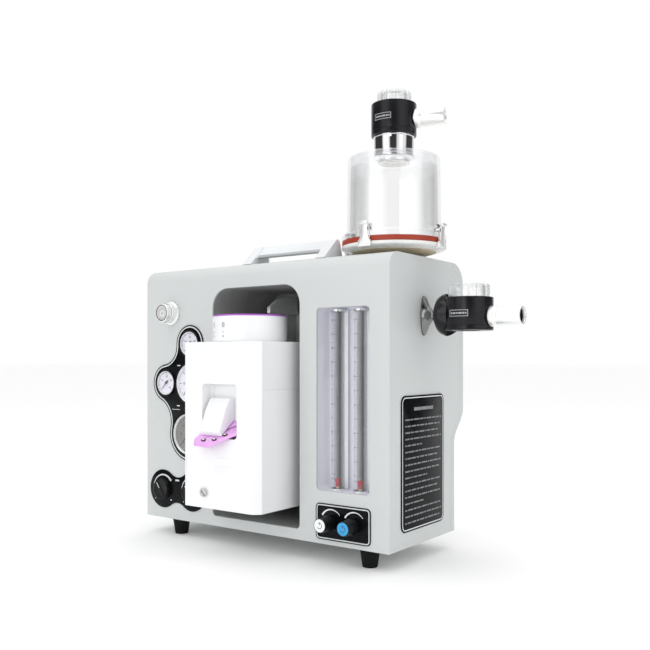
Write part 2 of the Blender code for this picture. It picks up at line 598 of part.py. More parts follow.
# ---------------------------------------------------------------- absorber
def make_absorber():
    low, high = BASE_FLANGE
    base = [(0.0160, CASE_H - 0.020), (0.0160, CASE_H + GAP), (0.0300, CASE_H + GAP),
            (0.0300, 0.3712), (0.0420, 0.3722), (0.0620, 0.3772), (FLANGE_R - 0.001, low),
            (FLANGE_R, low + 0.001),
            (FLANGE_R, high), (0.0590, high), (0.0580, 0.3800), (0.0420, 0.3752), (0.0120, 0.3742),
            (0.0120, CASE_H - 0.020)]
    turned("absorber_base", base, LARGE, "white_plastic", (*CAN, 0.0), ring=True)
    seal = [(FLANGE_R - 0.0006, GASKET[0]), (FLANGE_R - 0.0006, GASKET[1]), (0.0600, GASKET[1]),
            (0.0600, GASKET[0])]
    turned("base_gasket", seal, LARGE, "gasket_red", (*CAN, 0.0), ring=True)
    foot = GASKET[1] + GAP
    dome = [(FLANGE_R, foot), (FLANGE_R, DOME_FLANGE_TOP), (DOME_R_LOW + 0.001, DOME_FLANGE_TOP),
            (DOME_R_LOW, DOME_FLANGE_TOP + 0.001), (DOME_R_HIGH, DOME_TOP - 0.0025),
            (DOME_R_HIGH - 0.0025, DOME_TOP), (0.0215, DOME_TOP), (0.0215, DOME_TOP - 0.006),
            (DOME_R_HIGH - DOME_WALL, DOME_TOP - 0.006), (DOME_R_LOW - DOME_WALL, foot)]
    turned("absorber_dome", dome, LARGE, "clear_plastic", (*CAN, 0.0), ring=True)
    for side, angle in LATCH_ANGLES.items():
        make_latch("latch_" + side, radians(angle))


def make_latch(name, angle):
    """A bent-plate toggle lever with side cheeks, hinged low on the base's flange."""
    r = FLANGE_R
    side = [(r + GAP, BASE_FLANGE[0] - 0.0015), (r + 0.0042, BASE_FLANGE[0] - 0.0025),
            (r + 0.0046, 0.3990), (r + 0.0066, 0.4075), (r + 0.0054, 0.4085), (r + 0.0026, 0.4010),
            (r - 0.0030, 0.3995), (r - 0.0030, DOME_FLANGE_TOP + GAP), (r + GAP, DOME_FLANGE_TOP + GAP)]
    turn = Matrix.Rotation(angle, 3, "Z")
    pivot = Vector((r + 0.0042, 0.0, BASE_FLANGE[0] - 0.0025))
    rows = [[turn @ (Vector((a, t, b)) - pivot) for a, b in side] for t in (-LATCH_HALF, LATCH_HALF)]
    finish(name, skinned(rows), "steel", at(*CAN, 0.0) + turn @ pivot)


# ---------------------------------------------------------------- valves
def valve_body(name, x, y, low, high, port_z, port_angle):
    """A black ring with a floor, a seat for the disc, and a bore for its port."""
    ring = [(0.0150, low), (VALVE_R - 0.0008, low), (VALVE_R, low + 0.0008), (VALVE_R, high - 0.0008),
            (VALVE_R - 0.0008, high), (0.0240, high), (0.0240, low + 0.0050), (0.0190, low + 0.0050),
            (0.0190, low + SEAT_TOP), (0.0150, low + SEAT_TOP)]
    body = turned(name, ring, ROUND, "knob_black", (x, y, 0.0), ring=True)
    hollow = [(0.0, 0.018), (0.0098, 0.018), (0.0098, 0.040), (0.0, 0.040)]
    bore = turned("cut_" + name, hollow, SMALL, "knob_black", (x, y, port_z),
                  (0.0, radians(90), port_angle))
    return combine(body, [bore])


def valve_cap(name, x, y, low, high, radius):
    """A clear cap with a scalloped grip, open underneath."""
    turns = [2 * pi * i / CAP_STEPS for i in range(CAP_STEPS)]
    rows = []
    for inset, z in ((CAP_WALL, high - 0.0030), (CAP_WALL, low)):
        rows.append([((radius - inset) * cos(a), (radius - inset) * sin(a), z) for a in turns])
    for inset, z in ((0.0, low), (0.0, high - 0.0015), (0.0015, high)):
        row = []
        for a in turns:
            r = radius - inset - CAP_SCALLOP * (1 - cos(CAP_LOBES * a))
            row.append((r * cos(a), r * sin(a), z))
        rows.append(row)
    return finish(name, skinned(rows), "clear_plastic", at(x, y, 0.0))


def valve_disc(name, x, y, z):
    profile = [(0.0, z), (DISC_R, z), (DISC_R, z + DISC_T), (0.0, z + DISC_T)]
    turned(name, profile, SMALL, "disc_white", (x, y, 0.0))


def valve_port(name, x, y, z, angle, reach):
    """A 22 mm breathing connector with a shoulder against the ring."""
    inner_end = VALVE_R - 0.0050
    wall = [(0.0093, inner_end), (0.0093, VALVE_R + 0.0010), (0.0128, VALVE_R + 0.0010),
            (0.0128, VALVE_R + 0.0060), (0.0116, VALVE_R + 0.0075), (PORT_R, reach - 0.001),
            (PORT_R - 0.0006, reach), (PORT_BORE_R + 0.0008, reach), (PORT_BORE_R, inner_end)]
    turned(name, wall, SMALL, "aluminium", (x, y, z), (0.0, radians(90), angle), ring=True)


def make_upper_valve():
    x, y = CAN
    low, high = UPPER_RING
    collar = [(0.0210, DOME_TOP - 0.0055), (0.0210, DOME_TOP + GAP), (COLLAR_R, DOME_TOP + GAP),
              (COLLAR_R, low - GAP), (0.0180, low - GAP), (0.0180, DOME_TOP - 0.0055)]
    turned("upper_valve_collar", collar, ROUND, "chrome", (x, y, 0.0), ring=True)
    valve_body("upper_valve_body", x, y, low, high, UPPER_PORT_Z, UPPER_PORT_TURN)
    valve_cap("upper_valve_cap", x, y, high + GAP, UPPER_CAP_TOP, 0.0232)
    valve_disc("upper_valve_disc", x, y, low + SEAT_TOP + GAP)
    valve_port("upper_valve_port", x, y, UPPER_PORT_Z, UPPER_PORT_TURN, UPPER_PORT_REACH)


def make_side_valve():
    x, y = SIDE_VALVE
    low, high = SIDE_RING
    valve_body("side_valve_body", x, y, low, high, SIDE_PORT_Z, 0.0)
    valve_cap("side_valve_cap", x, y, high + GAP, SIDE_CAP_TOP, 0.0262)
    valve_disc("side_valve_disc", x, y, low + SEAT_TOP + GAP)
    valve_port("side_valve_port", x, y, SIDE_PORT_Z, 0.0, PORT_REACH - x)
    stem = [(STEM_R, -0.020), (STEM_R, GAP), (0.0255, GAP), (0.0255, 0.0022), (0.0235, 0.0040),
            (0.0130, 0.0085), (0.0062, 0.0140), (0.0055, 0.0175), (0.0090, 0.0205),
            (0.0180, 0.0235), (0.0245, 0.0280), (0.0265, 0.0330), (0.0265, 0.0460),
            (0.0040, 0.0460), (0.0040, -0.020)]
    mount = turned("side_valve_mount", stem, ROUND, "chrome", (0.0, y, SIDE_STEM_Z), FACING_RIGHT,
                   ring=True)
    for vertex in mount.data.vertices:
        width = hypot(vertex.co.x, vertex.co.y)
        if vertex.co.z < OVAL_TOP and width > OVAL_HALF:
            vertex.co.y *= OVAL_HALF / width
    ring = circle(x, y, VALVE_R + GAP, ROUND)
    combine(mount, [prism("cut_mount", ring, low - 0.05, high + 0.05, "z", "chrome")], solver="MANIFOLD")


def make_inlet():
    """Oxygen inlet: a threaded fitting through the back cover."""
    x, z = INLET
    profile = [(0.0, -0.016), (0.0110, -0.016), (0.0110, -WALL - GAP), (INLET_R, -WALL - GAP),
               (INLET_R, GAP), (0.0120, GAP), (0.0120, 0.0050), (INLET_R, 0.0055),
               (INLET_R, 0.0200), (INLET_R - 0.0008, 0.0210), (0.0040, 0.0210), (0.0040, 0.0040),
               (0.0, 0.0040)]
    turned("oxygen_inlet", profile, SMALL, "brass", (x, LOW_D, z), FACING_BACK)


def main():
    for old in list(bpy.data.objects):
        bpy.data.objects.remove(old)
    make_case()
    make_bay()
    make_feet()
    make_handle()
    make_gauges()
    make_selectors()
    make_flush()
    make_flow_meters()
    make_side_label()
    make_vaporizer()
    make_vaporizer_mount()
    make_absorber()
    make_upper_valve()
    make_side_valve()
    make_inlet()


main()
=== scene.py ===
"""Looks of a portable veterinary anaesthesia machine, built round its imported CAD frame.

Units are metres in the frame's own axes: +X is right, +Z is up and the front faces -Y. Small
sizes are written in millimetres times MM. Places are read from the CAD nodes' boxes. A flat or
turned piece is drawn in a face's own (u, v, w): u to the right, v up and w out of the face.
"""

import json
from math import acos, atan2, cos, hypot, pi, radians, sin, tan

import bmesh
import bpy
from mathutils import Matrix, Vector

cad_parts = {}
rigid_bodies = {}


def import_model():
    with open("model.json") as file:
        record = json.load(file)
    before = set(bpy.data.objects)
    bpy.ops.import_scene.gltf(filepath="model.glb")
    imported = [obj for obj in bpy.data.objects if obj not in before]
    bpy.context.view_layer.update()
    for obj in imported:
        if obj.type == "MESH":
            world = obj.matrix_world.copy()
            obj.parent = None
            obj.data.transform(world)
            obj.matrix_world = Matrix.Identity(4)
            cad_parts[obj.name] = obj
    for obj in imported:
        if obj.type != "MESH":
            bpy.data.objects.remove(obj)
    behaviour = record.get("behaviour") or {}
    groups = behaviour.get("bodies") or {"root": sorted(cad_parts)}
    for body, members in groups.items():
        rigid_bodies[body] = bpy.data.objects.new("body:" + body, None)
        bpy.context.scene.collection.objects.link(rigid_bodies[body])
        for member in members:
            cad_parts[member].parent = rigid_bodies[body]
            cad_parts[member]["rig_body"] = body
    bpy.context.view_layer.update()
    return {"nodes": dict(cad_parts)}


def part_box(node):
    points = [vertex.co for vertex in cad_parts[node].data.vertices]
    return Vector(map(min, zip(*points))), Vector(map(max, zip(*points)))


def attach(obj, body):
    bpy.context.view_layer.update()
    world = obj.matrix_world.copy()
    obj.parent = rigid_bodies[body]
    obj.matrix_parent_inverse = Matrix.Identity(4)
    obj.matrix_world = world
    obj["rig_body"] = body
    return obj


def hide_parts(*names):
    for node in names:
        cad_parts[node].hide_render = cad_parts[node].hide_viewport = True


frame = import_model()
MM = 0.001

CASE_LOW, CASE_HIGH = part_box("case_shell")
COVER_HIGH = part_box("rear_cover")[1]
CORNER = Vector((CASE_HIGH.x, CASE_LOW.y, CASE_LOW.z))     # the case's lower front right corner
FRONT_Y, RIGHT_X, LEFT_X = CASE_LOW.y, CASE_HIGH.x, CASE_LOW.x
CASE_TOP = CASE_HIGH.z


# ---------------------------------------------------------------- materials
def nodes_of(name):
    made = bpy.data.materials.new(name)
    made.use_nodes = True
    tree = made.node_tree
    return made, tree, tree.nodes["Principled BSDF"]


def noise(tree, scale, detail=3.0, stretch=(1.0, 1.0, 1.0)):
    """Noise in the piece's own coordinates, scale in cells per metre."""
    place = tree.nodes.new("ShaderNodeTexCoord")
    mapping = tree.nodes.new("ShaderNodeMapping")
    mapping.inputs["Scale"].default_value = stretch
    made = tree.nodes.new("ShaderNodeTexNoise")
    made.inputs["Scale"].default_value = scale
    made.inputs["Detail"].default_value = detail
    tree.links.new(place.outputs["Object"], mapping.inputs["Vector"])
    tree.links.new(mapping.outputs["Vector"], made.inputs["Vector"])
    return made.outputs["Fac"]


def spread(tree, source, low, high):
    """A noise value mapped to the range low to high."""
    made = tree.nodes.new("ShaderNodeMapRange")
    made.inputs["From Min"].default_value = 0.3
    made.inputs["From Max"].default_value = 0.7
    made.inputs["To Min"].default_value = low
    made.inputs["To Max"].default_value = high
    tree.links.new(source, made.inputs["Value"])
    return made.outputs["Result"]


def finish_of(name, colour, roughness, metallic=0.0, tone=0.04, tone_scale=18.0, grain=0.05,
              grain_scale=1400.0, stretch=(1.0, 1.0, 1.0), rough_range=0.06, edge=None, **sockets):
    """A finish with slow tone changes, fine grain, uneven gloss and, if given, lighter edges."""
    made, tree, shader = nodes_of(name)
    ramp = tree.nodes.new("ShaderNodeValToRGB")
    ramp.color_ramp.elements[0].position = 0.3
    ramp.color_ramp.elements[1].position = 0.7
    ramp.color_ramp.elements[0].color = (*[c * (1 - tone) for c in colour], 1.0)
    ramp.color_ramp.elements[1].color = (*[min(1.0, c * (1 + tone)) for c in colour], 1.0)
    tree.links.new(noise(tree, tone_scale), ramp.inputs["Fac"])
    painted = ramp.outputs["Color"]
    if edge:
        painted = edge_wear(tree, painted, edge)
    tree.links.new(painted, shader.inputs["Base Color"])
    fine = noise(tree, grain_scale, 2.0, stretch)
    gloss = spread(tree, noise(tree, tone_scale * 6, 4.0, stretch),
                   max(0.0, roughness - rough_range), roughness + rough_range)
    tree.links.new(gloss, shader.inputs["Roughness"])
    bump = tree.nodes.new("ShaderNodeBump")
    bump.inputs["Strength"].default_value = grain
    bump.inputs["Distance"].default_value = 0.2 * MM
    tree.links.new(fine, bump.inputs["Height"])
    tree.links.new(bump.outputs["Normal"], shader.inputs["Normal"])
    shader.inputs["Metallic"].default_value = metallic
    for socket, value in sockets.items():
        shader.inputs[socket.replace("_", " ")].default_value = value
    return made


def edge_wear(tree, painted, colour):
    """Rubbed edges: the edge colour where the surface is most convex, broken up by noise."""
    geometry = tree.nodes.new("ShaderNodeNewGeometry")
    ramp = tree.nodes.new("ShaderNodeValToRGB")
    ramp.color_ramp.elements[0].position = 0.53
    ramp.color_ramp.elements[1].position = 0.62
    tree.links.new(geometry.outputs["Pointiness"], ramp.inputs["Fac"])
    patch = spread(tree, noise(tree, 220.0), 0.0, 0.55)
    amount = tree.nodes.new("ShaderNodeMath")
    amount.operation = "MULTIPLY"
    tree.links.new(ramp.outputs["Color"], amount.inputs[0])
    tree.links.new(patch, amount.inputs[1])
    mix = tree.nodes.new("ShaderNodeMix")
    mix.data_type = "RGBA"
    tree.links.new(amount.outputs[0], mix.inputs["Factor"])
    tree.links.new(painted, mix.inputs["A"])
    mix.inputs["B"].default_value = (*colour, 1.0)
    return mix.outputs["Result"]


def clear_finish(name, colour, least, most, roughness=0.04):
    """A thin clear skin: seen through from the front, reflecting more towards its edges."""
    made = finish_of(name, colour, roughness, 0.9, tone=0.01, grain=0.01, grain_scale=60.0,
                     rough_range=0.015)
    tree = made.node_tree
    facing = tree.nodes.new("ShaderNodeLayerWeight")
    facing.inputs["Blend"].default_value = 0.35
    cover = tree.nodes.new("ShaderNodeMapRange")
    cover.inputs["To Min"].default_value = least
    cover.inputs["To Max"].default_value = most
    tree.links.new(facing.outputs["Facing"], cover.inputs["Value"])
    tree.links.new(cover.outputs["Result"], tree.nodes["Principled BSDF"].inputs["Alpha"])
    return made


TURNED = (1.0, 1.0, 40.0)      # grain drawn out into the rings of a turned surface
BRUSHED = (0.04, 1.0, 1.0)     # grain drawn out along x

PAINT = {
    "case": finish_of("case_powder_coat", (0.600, 0.624, 0.622), 0.45, tone=0.012, tone_scale=7.0,
                      grain=0.10, grain_scale=1100.0),
    "bay": finish_of("bay_dark_coat", (0.32, 0.33, 0.32), 0.50, tone=0.10, tone_scale=22.0,
                     grain=0.12, grain_scale=1300.0, Specular_IOR_Level=0.3),
    "rubber": finish_of("foot_rubber", (0.008, 0.008, 0.009), 0.62, tone=0.15, grain=0.25,
                        grain_scale=1800.0, edge=(0.03, 0.03, 0.03), Specular_IOR_Level=0.12),
    "handle": finish_of("handle_coat", (0.74, 0.76, 0.775), 0.42, tone=0.02, grain=0.12,
                        edge=(0.72, 0.73, 0.74)),
    # Dark grey for the grip's ribs: painted shade for the shadow under the grip's lower edge.
    "handle_rib_painted_shade": finish_of("handle_rib_painted_shade_grey", (0.20, 0.215, 0.225), 0.5, tone=0.04, grain=0.1),
    "plate": finish_of("plate_black_gloss", (0.004, 0.005, 0.006), 0.22, tone=0.15, grain=0.03,
                       Specular_IOR_Level=0.10),
    "line": finish_of("printed_silver", (0.66, 0.70, 0.71), 0.36, tone=0.06, tone_scale=60.0,
                      grain=0.03),
    "ink_white": finish_of("printed_white", (0.86, 0.88, 0.90), 0.45, tone=0.05, tone_scale=200.0,
                           grain=0.02),
    "ink_dark": finish_of("printed_dark", (0.035, 0.035, 0.050), 0.50, tone=0.20, tone_scale=200.0,
                          grain=0.02),
    "print_grey": finish_of("printed_pale_grey", (0.42, 0.43, 0.45), 0.45, tone=0.12,
                            tone_scale=300.0, grain=0.02),
    "print_dim": finish_of("printed_dim_grey", (0.20, 0.21, 0.22), 0.45, tone=0.25,
                           tone_scale=300.0, grain=0.02),
    "knob": finish_of("knob_moulded_black", (0.007, 0.007, 0.008), 0.30, tone=0.15, grain=0.08,
                      edge=(0.05, 0.05, 0.05), Specular_IOR_Level=0.2),
    "anodised": finish_of("valve_anodised_black", (0.010, 0.010, 0.013), 0.26, 0.25, tone=0.12,
                          grain=0.05, grain_scale=500.0, stretch=TURNED, edge=(0.14, 0.14, 0.15),
                          Specular_IOR_Level=0.35),
    "gauge_rim": finish_of("gauge_rim_black", (0.008, 0.008, 0.009), 0.24, tone=0.1, grain=0.04,
                           edge=(0.07, 0.07, 0.07), Specular_IOR_Level=0.2),
    "gauge_ring": finish_of("gauge_ring_silver", (0.80, 0.82, 0.83), 0.30, 0.35, tone=0.03,
                            grain=0.04),
    "needle": finish_of("needle_black_lacquer", (0.015, 0.015, 0.018), 0.35, tone=0.2, grain=0.02),
    "dial": finish_of("dial_lavender_white", (0.82, 0.81, 0.90), 0.38, tone=0.02, grain=0.02),
    # The lower gauge's dial: a beige dial colour darkened as painted shade for the vaporizer's shadow falling
    # on it.
    "dial_beige_painted_shade": finish_of("dial_beige_painted_shade", (0.17, 0.165, 0.15), 0.40, tone=0.03, grain=0.02),
    "white": finish_of("vaporizer_white_gloss", (0.900, 0.908, 0.918), 0.20, tone=0.008,
                       tone_scale=9.0, grain=0.02, grain_scale=500.0, Coat_Weight=0.2,
                       Coat_Roughness=0.08),
    "milk": finish_of("base_milky_white", (0.84, 0.84, 0.82), 0.28, tone=0.015, grain=0.04,
                      Coat_Weight=0.3, Coat_Roughness=0.1),
    "lavender": finish_of("flow_panel_lavender", (0.86, 0.86, 0.94), 0.35, tone=0.015, grain=0.03),
    "clear": clear_finish("clear_acrylic", (0.93, 0.95, 0.96), 0.05, 0.75),
    "pane": clear_finish("flow_window_acrylic", (0.93, 0.94, 0.99), 0.02, 0.20),
    "dome": clear_finish("dome_polycarbonate", (0.90, 0.92, 0.94), 0.03, 0.50),
    "lens": clear_finish("gauge_lens_glass", (0.95, 0.95, 0.97), 0.02, 0.20),
    "tube": clear_finish("flow_tube_glass", (0.86, 0.86, 0.95), 0.0, 0.22),
    "red": finish_of("float_red", (0.60, 0.022, 0.035), 0.30, tone=0.06, grain=0.02),
    "cream": finish_of("float_cream_foot", (0.75, 0.66, 0.42), 0.40, tone=0.05, grain=0.02),
    "purple": finish_of("agent_purple", (0.42, 0.10, 0.55), 0.30, tone=0.05, grain=0.03),
    "lilac": finish_of("filler_lilac", (0.80, 0.42, 0.84), 0.28, tone=0.03, grain=0.04,
                       Coat_Weight=0.3, Coat_Roughness=0.1),
    "aluminium": finish_of("aluminium_satin", (0.80, 0.82, 0.82), 0.30, 1.0, tone=0.03,
                           grain=0.10, grain_scale=420.0, stretch=TURNED),
    # Satin plating for the bright metal parts; also used as painted light on the lock lever's lit front end.
    "plated_and_painted_lit_end": finish_of("satin_plating_and_painted_lit_end", (0.93, 0.94, 0.93), 0.24, 0.55, tone=0.01,
                        grain=0.015, grain_scale=300.0, rough_range=0.03),
    "steel": finish_of("steel_brushed", (0.60, 0.60, 0.61), 0.26, 1.0, tone=0.05, grain=0.14,
                       grain_scale=700.0, stretch=BRUSHED),
    "mount": finish_of("mount_grey_metal", (0.62, 0.635, 0.64), 0.45, 0.0, tone=0.05, grain=0.10,
                       grain_scale=700.0, stretch=BRUSHED),
    "chrome": finish_of("chrome_polished", (0.74, 0.74, 0.76), 0.05, 1.0, tone=0.02, grain=0.01,
                        rough_range=0.02),
    "chrome_dark": finish_of("chrome_black_nickel", (0.20, 0.20, 0.20), 0.07, 1.0, tone=0.03,
                             grain=0.01, rough_range=0.02),
    "black_nickel": finish_of("cup_black_nickel", (0.035, 0.035, 0.038), 0.10, 0.8, tone=0.05,
                              grain=0.01, rough_range=0.02),
    "brass": finish_of("brass_turned", (0.70, 0.50, 0.20), 0.26, 1.0, tone=0.08, grain=0.12,
                       grain_scale=420.0, stretch=TURNED),
    "gasket": finish_of("gasket_red_rubber", (0.36, 0.035, 0.010), 0.45, tone=0.10, grain=0.12),
    # Black for the real seals; also used inside the port bores as painted shade.
    "seal_black_and_bore_shade": finish_of("seal_black_and_painted_bore_shade", (0.010, 0.010, 0.010), 0.5, tone=0.1, grain=0.1),
    "disc": finish_of("valve_disc_ceramic", (0.78, 0.76, 0.70), 0.35, tone=0.03, grain=0.05),
    "beige": finish_of("drain_pad_beige", (0.60, 0.52, 0.36), 0.45, tone=0.10, grain=0.06),
    "stud": finish_of("stud_dark_bronze", (0.10, 0.055, 0.055), 0.35, 0.5, tone=0.2, grain=0.08),
    "cap_white": finish_of("knob_cap_white", (0.86, 0.88, 0.87), 0.30, tone=0.02, grain=0.03),
    "cap_blue": finish_of("knob_cap_blue", (0.028, 0.34, 0.66), 0.28, tone=0.04, grain=0.03),
    "cap_navy": finish_of("knob_mark_navy", (0.012, 0.055, 0.20), 0.4, tone=0.05, grain=0.02),
}


# ---------------------------------------------------------------- outlines
def arc_points(cx, cy, radius, start, end, steps):
    angles = [start + (end - start) * i / steps for i in range(steps + 1)]
    return [(cx + radius * cos(a), cy + radius * sin(a)) for a in angles]


def circle(cx, cy, radius, steps=48):
    return arc_points(cx, cy, radius, 0.0, 2 * pi, steps)[:-1]


def rounded(points, steps=4, closed=True):
    """An outline whose (a, b, radius) corners are turned into arcs."""
    made = []
    count = len(points)
    for i, point in enumerate(points):
        here = Vector(point[:2])
        radius = point[2] if len(point) > 2 else 0.0
        inside = closed or 0 < i < count - 1
        if radius <= 0.0 or not inside:
            made.append(tuple(here))
            continue
        before = Vector(points[i - 1][:2]) - here
        after = Vector(points[(i + 1) % count][:2]) - here
        half = before.angle(after) / 2
        if half > radians(86):
            made.append(tuple(here))
            continue
        reach = min(radius / tan(half), 0.48 * before.length, 0.48 * after.length)
        radius = reach * tan(half)
        middle = here + (before.normalized() + after.normalized()).normalized() * (radius / sin(half))
        start = here + before.normalized() * reach - middle
        end = here + after.normalized() * reach - middle
        first = atan2(start.y, start.x)
        sweep = (atan2(end.y, end.x) - first + pi) % (2 * pi) - pi
        made += arc_points(*middle, radius, first, first + sweep, steps)
    return made


def rounded_box(left, right, low, high, radius, low_radius=None, grow=0.0, steps=6):
    low_radius = radius if low_radius is None else low_radius
    left, right, low, high = left - grow, right + grow, low - grow, high + grow
    low_r, top_r = max(1e-6, low_radius + grow), max(1e-6, radius + grow)
    return rounded([(left, low, low_r), (right, low, low_r), (right, high, top_r), (left, high, top_r)],
                   steps)


def lobed(lobes, fillets, inset=0.0, steps=10):
    """Round lobes, counter-clockwise, joined by hollow fillets that touch both neighbours."""
    centres = []
    for (ax, ay, ar), (bx, by, br), fillet in zip(lobes, lobes[1:] + lobes[:1], fillets):
        span = hypot(bx - ax, by - ay)
        to_a, to_b = ar + fillet, br + fillet
        turn = acos((to_a ** 2 + span ** 2 - to_b ** 2) / (2 * to_a * span))
        angle = atan2(by - ay, bx - ax) - turn
        centres.append((ax + to_a * cos(angle), ay + to_a * sin(angle), fillet))
    points = []
    for i, (x, y, radius) in enumerate(lobes):
        before, after = centres[i - 1], centres[i]
        start = atan2(before[1] - y, before[0] - x)
        end = atan2(after[1] - y, after[0] - x)
        end += 2 * pi if end <= start else 0.0
        points += arc_points(x, y, radius - inset, start, end, 3 * steps)
        following = lobes[(i + 1) % len(lobes)]
        start = atan2(y - after[1], x - after[0])
        end = atan2(following[1] - after[1], following[0] - after[0])
        end -= 2 * pi if end > start else 0.0
        points += arc_points(*after[:2], after[2] + inset, start, end, steps)[1:-1]
    return points


# ---------------------------------------------------------------- pieces
def face_matrix(u, v, w, origin):
    made = Matrix((u, v, w)).transposed().to_4x4()
    made.translation = origin
    return made


X, Y, Z = Vector((1, 0, 0)), Vector((0, 1, 0)), Vector((0, 0, 1))


def on_front(x=0.0, z=0.0, y=FRONT_Y):
    return face_matrix(X, Z, -Y, Vector((x, y, z)))


def on_right(y=0.0, z=0.0, x=RIGHT_X):
    return face_matrix(Y, Z, X, Vector((x, y, z)))


def on_back(x=0.0, z=0.0, y=COVER_HIGH.y):
    return face_matrix(-X, Z, Y, Vector((x, y, z)))


def on_top(x=0.0, y=0.0, z=0.0, turn=0.0):
    return Matrix.Translation((x, y, z)) @ Matrix.Rotation(turn, 4, "Z")


def body_of(node):
    return frame["nodes"][node]["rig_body"]


def add(name, bm, paint, place, body, stands_for=(), sharp=32.0):
    """Make a named piece from a mesh, put it in place and let it ride on a CAD body."""
    bmesh.ops.remove_doubles(bm, verts=bm.verts, dist=1e-7)
    bmesh.ops.recalc_face_normals(bm, faces=bm.faces)
    mesh = bpy.data.meshes.new(name)
    bm.to_mesh(mesh)
    bm.free()
    mesh.materials.append(PAINT[paint])
    mesh.shade_smooth()
    mesh.set_sharp_from_angle(angle=radians(sharp))
    made = bpy.data.objects.new(name, mesh)
    bpy.context.scene.collection.objects.link(made)
    made.matrix_world = place
    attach(made, body)
    if stands_for:
        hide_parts(*stands_for)
    return made


def spin(profile, steps=72, ring=False):
    """Turn (radius, w) points about the w axis; a ring's profile closes on itself."""
    bm = bmesh.new()
    rows = []
    for radius, height in profile:
        if radius < 1e-7:
            rows.append([bm.verts.new((0.0, 0.0, height))] * steps)
        else:
            rows.append([bm.verts.new((x, y, height)) for x, y in circle(0, 0, radius, steps)])
    pairs = zip(rows, rows[1:] + rows[:1]) if ring else zip(rows, rows[1:])
    for lower, upper in pairs:
        for i in range(steps):
            j = (i + 1) % steps
            corners = dict.fromkeys((lower[i], lower[j], upper[j], upper[i]))
            if len(corners) > 2:
                bm.faces.new(list(corners))
    return bm


def loft(rows, closed=True, caps=True):
    """Skin rows of (x, y, z) points that all have the same count."""
    bm = bmesh.new()
    made = [[bm.verts.new(p) for p in row] for row in rows]
    count = len(made[0])
    for lower, upper in zip(made, made[1:]):
        for i in range(count if closed else count - 1):
            j = (i + 1) % count
            bm.faces.new((lower[i], lower[j], upper[j], upper[i]))
    if caps:
        bm.faces.new(made[0])
        bm.faces.new(made[-1])
    return bm


def slab(outline, low, high, bevel=0.0, steps=2):
    """A plate on the (u, v) plane from w low to high, its rims rounded by bevel."""
    return loft(slab_rows(outline, low, high, bevel, steps))


def slab_rows(outline, low, high, bevel, steps):
    if bevel <= 0.0:
        return [[(u, v, w) for u, v in outline] for w in (low, high)]
    rows = []
    for w, side in ((low, -1), (high, 1)):
        turns = range(steps + 1) if side < 0 else range(steps, -1, -1)
        for i in turns:
            a = 0.5 * pi * i / steps
            inset = bevel * (1 - sin(a))
            height = w - side * bevel * (1 - cos(a))
            rows.append([(u, v, height) for u, v in offset(outline, -inset)])
    return rows


def offset(outline, grow):
    """Move a counter-clockwise outline out by grow, along the mean of each corner's sides."""
    if abs(grow) < 1e-9:
        return list(outline)
    made = []
    count = len(outline)
    for i in range(count):
        ax, ay = outline[i - 1]
        x, y = outline[i]
        bx, by = outline[(i + 1) % count]
        first = Vector((y - ay, ax - x))
        second = Vector((by - y, x - bx))
        first = first.normalized() if first.length > 1e-9 else second.normalized()
        second = second.normalized() if second.length > 1e-9 else first
        mean = (first + second).normalized()
        stretch = grow / max(0.5, mean.dot(first))
        made.append((x + mean.x * stretch, y + mean.y * stretch))
    return made


def framed(outer, inner, low, high):
    """A flat frame between two outlines with the same number of points."""
    return loft([[(u, v, w) for u, v in line] for line, w in
                 ((outer, low), (outer, high), (inner, high), (inner, low), (outer, low))], caps=False)


def join(meshes):
    """One mesh out of several, each a mesh or a (mesh, matrix) pair."""
    whole = bmesh.new()
    for item in meshes:
        bm, place = item if isinstance(item, tuple) else (item, None)
        if place is not None:
            bmesh.ops.transform(bm, matrix=place, verts=bm.verts)
        part = bpy.data.meshes.new("part")
        bm.to_mesh(part)
        bm.free()
        whole.from_mesh(part)
        bpy.data.meshes.remove(part)
    return whole


def as_object(bm, name="cutter"):
    mesh = bpy.data.meshes.new(name)
    bmesh.ops.recalc_face_normals(bm, faces=bm.faces)
    bm.to_mesh(mesh)
    bm.free()
    made = bpy.data.objects.new(name, mesh)
    bpy.context.scene.collection.objects.link(made)
    return made


def carved(bm, cutters, bevel=0.0, steps=3, operation="DIFFERENCE", angle=35.0):
    """A mesh with the cutters taken away, or joined on, and its edges rounded."""
    base = as_object(bm, "base")
    tools = [as_object(c) for c in cutters]
    for tool in tools:
        step = base.modifiers.new("cut", "BOOLEAN")
        step.operation = operation
        step.object = tool
        step.solver = "EXACT"
    if bevel:
        edge = base.modifiers.new("edge", "BEVEL")
        edge.width = bevel
        edge.segments = steps
        edge.limit_method = "ANGLE"
        edge.angle_limit = radians(angle)
        edge.miter_outer = "MITER_ARC"
        edge.use_clamp_overlap = True
    bpy.context.view_layer.update()
    seen = base.evaluated_get(bpy.context.evaluated_depsgraph_get())
    made = bmesh.new()
    made.from_mesh(seen.to_mesh())
    seen.to_mesh_clear()
    for old in [base] + tools:
        mesh = old.data
        bpy.data.objects.remove(old)
        bpy.data.meshes.remove(mesh)
    return made


def bar(u0, v0, u1, v1, width, low=0.0, high=0.1 * MM):
    """A thin straight bar between two points."""
    along = Vector((u1 - u0, v1 - v0))
    side = Vector((-along.y, along.x)).normalized() * width / 2
    outline = [(u0 - side.x, v0 - side.y), (u1 - side.x, v1 - side.y),
               (u1 + side.x, v1 + side.y), (u0 + side.x, v0 + side.y)]
    return slab(outline, low, high)


def bow(u, v, radius, start, end, first_width, last_width, low=0.0, high=0.1 * MM, steps=28):
    """A thin arc whose width runs from first_width to last_width."""
    outer, inner = [], []
    for i in range(steps + 1):
        t = i / steps
        a = start + (end - start) * t
        half = (first_width + (last_width - first_width) * t) / 2
        outer.append((u + (radius + half) * cos(a), v + (radius + half) * sin(a)))
        inner.append((u + (radius - half) * cos(a), v + (radius - half) * sin(a)))
    return slab(outer + inner[::-1], low, high)


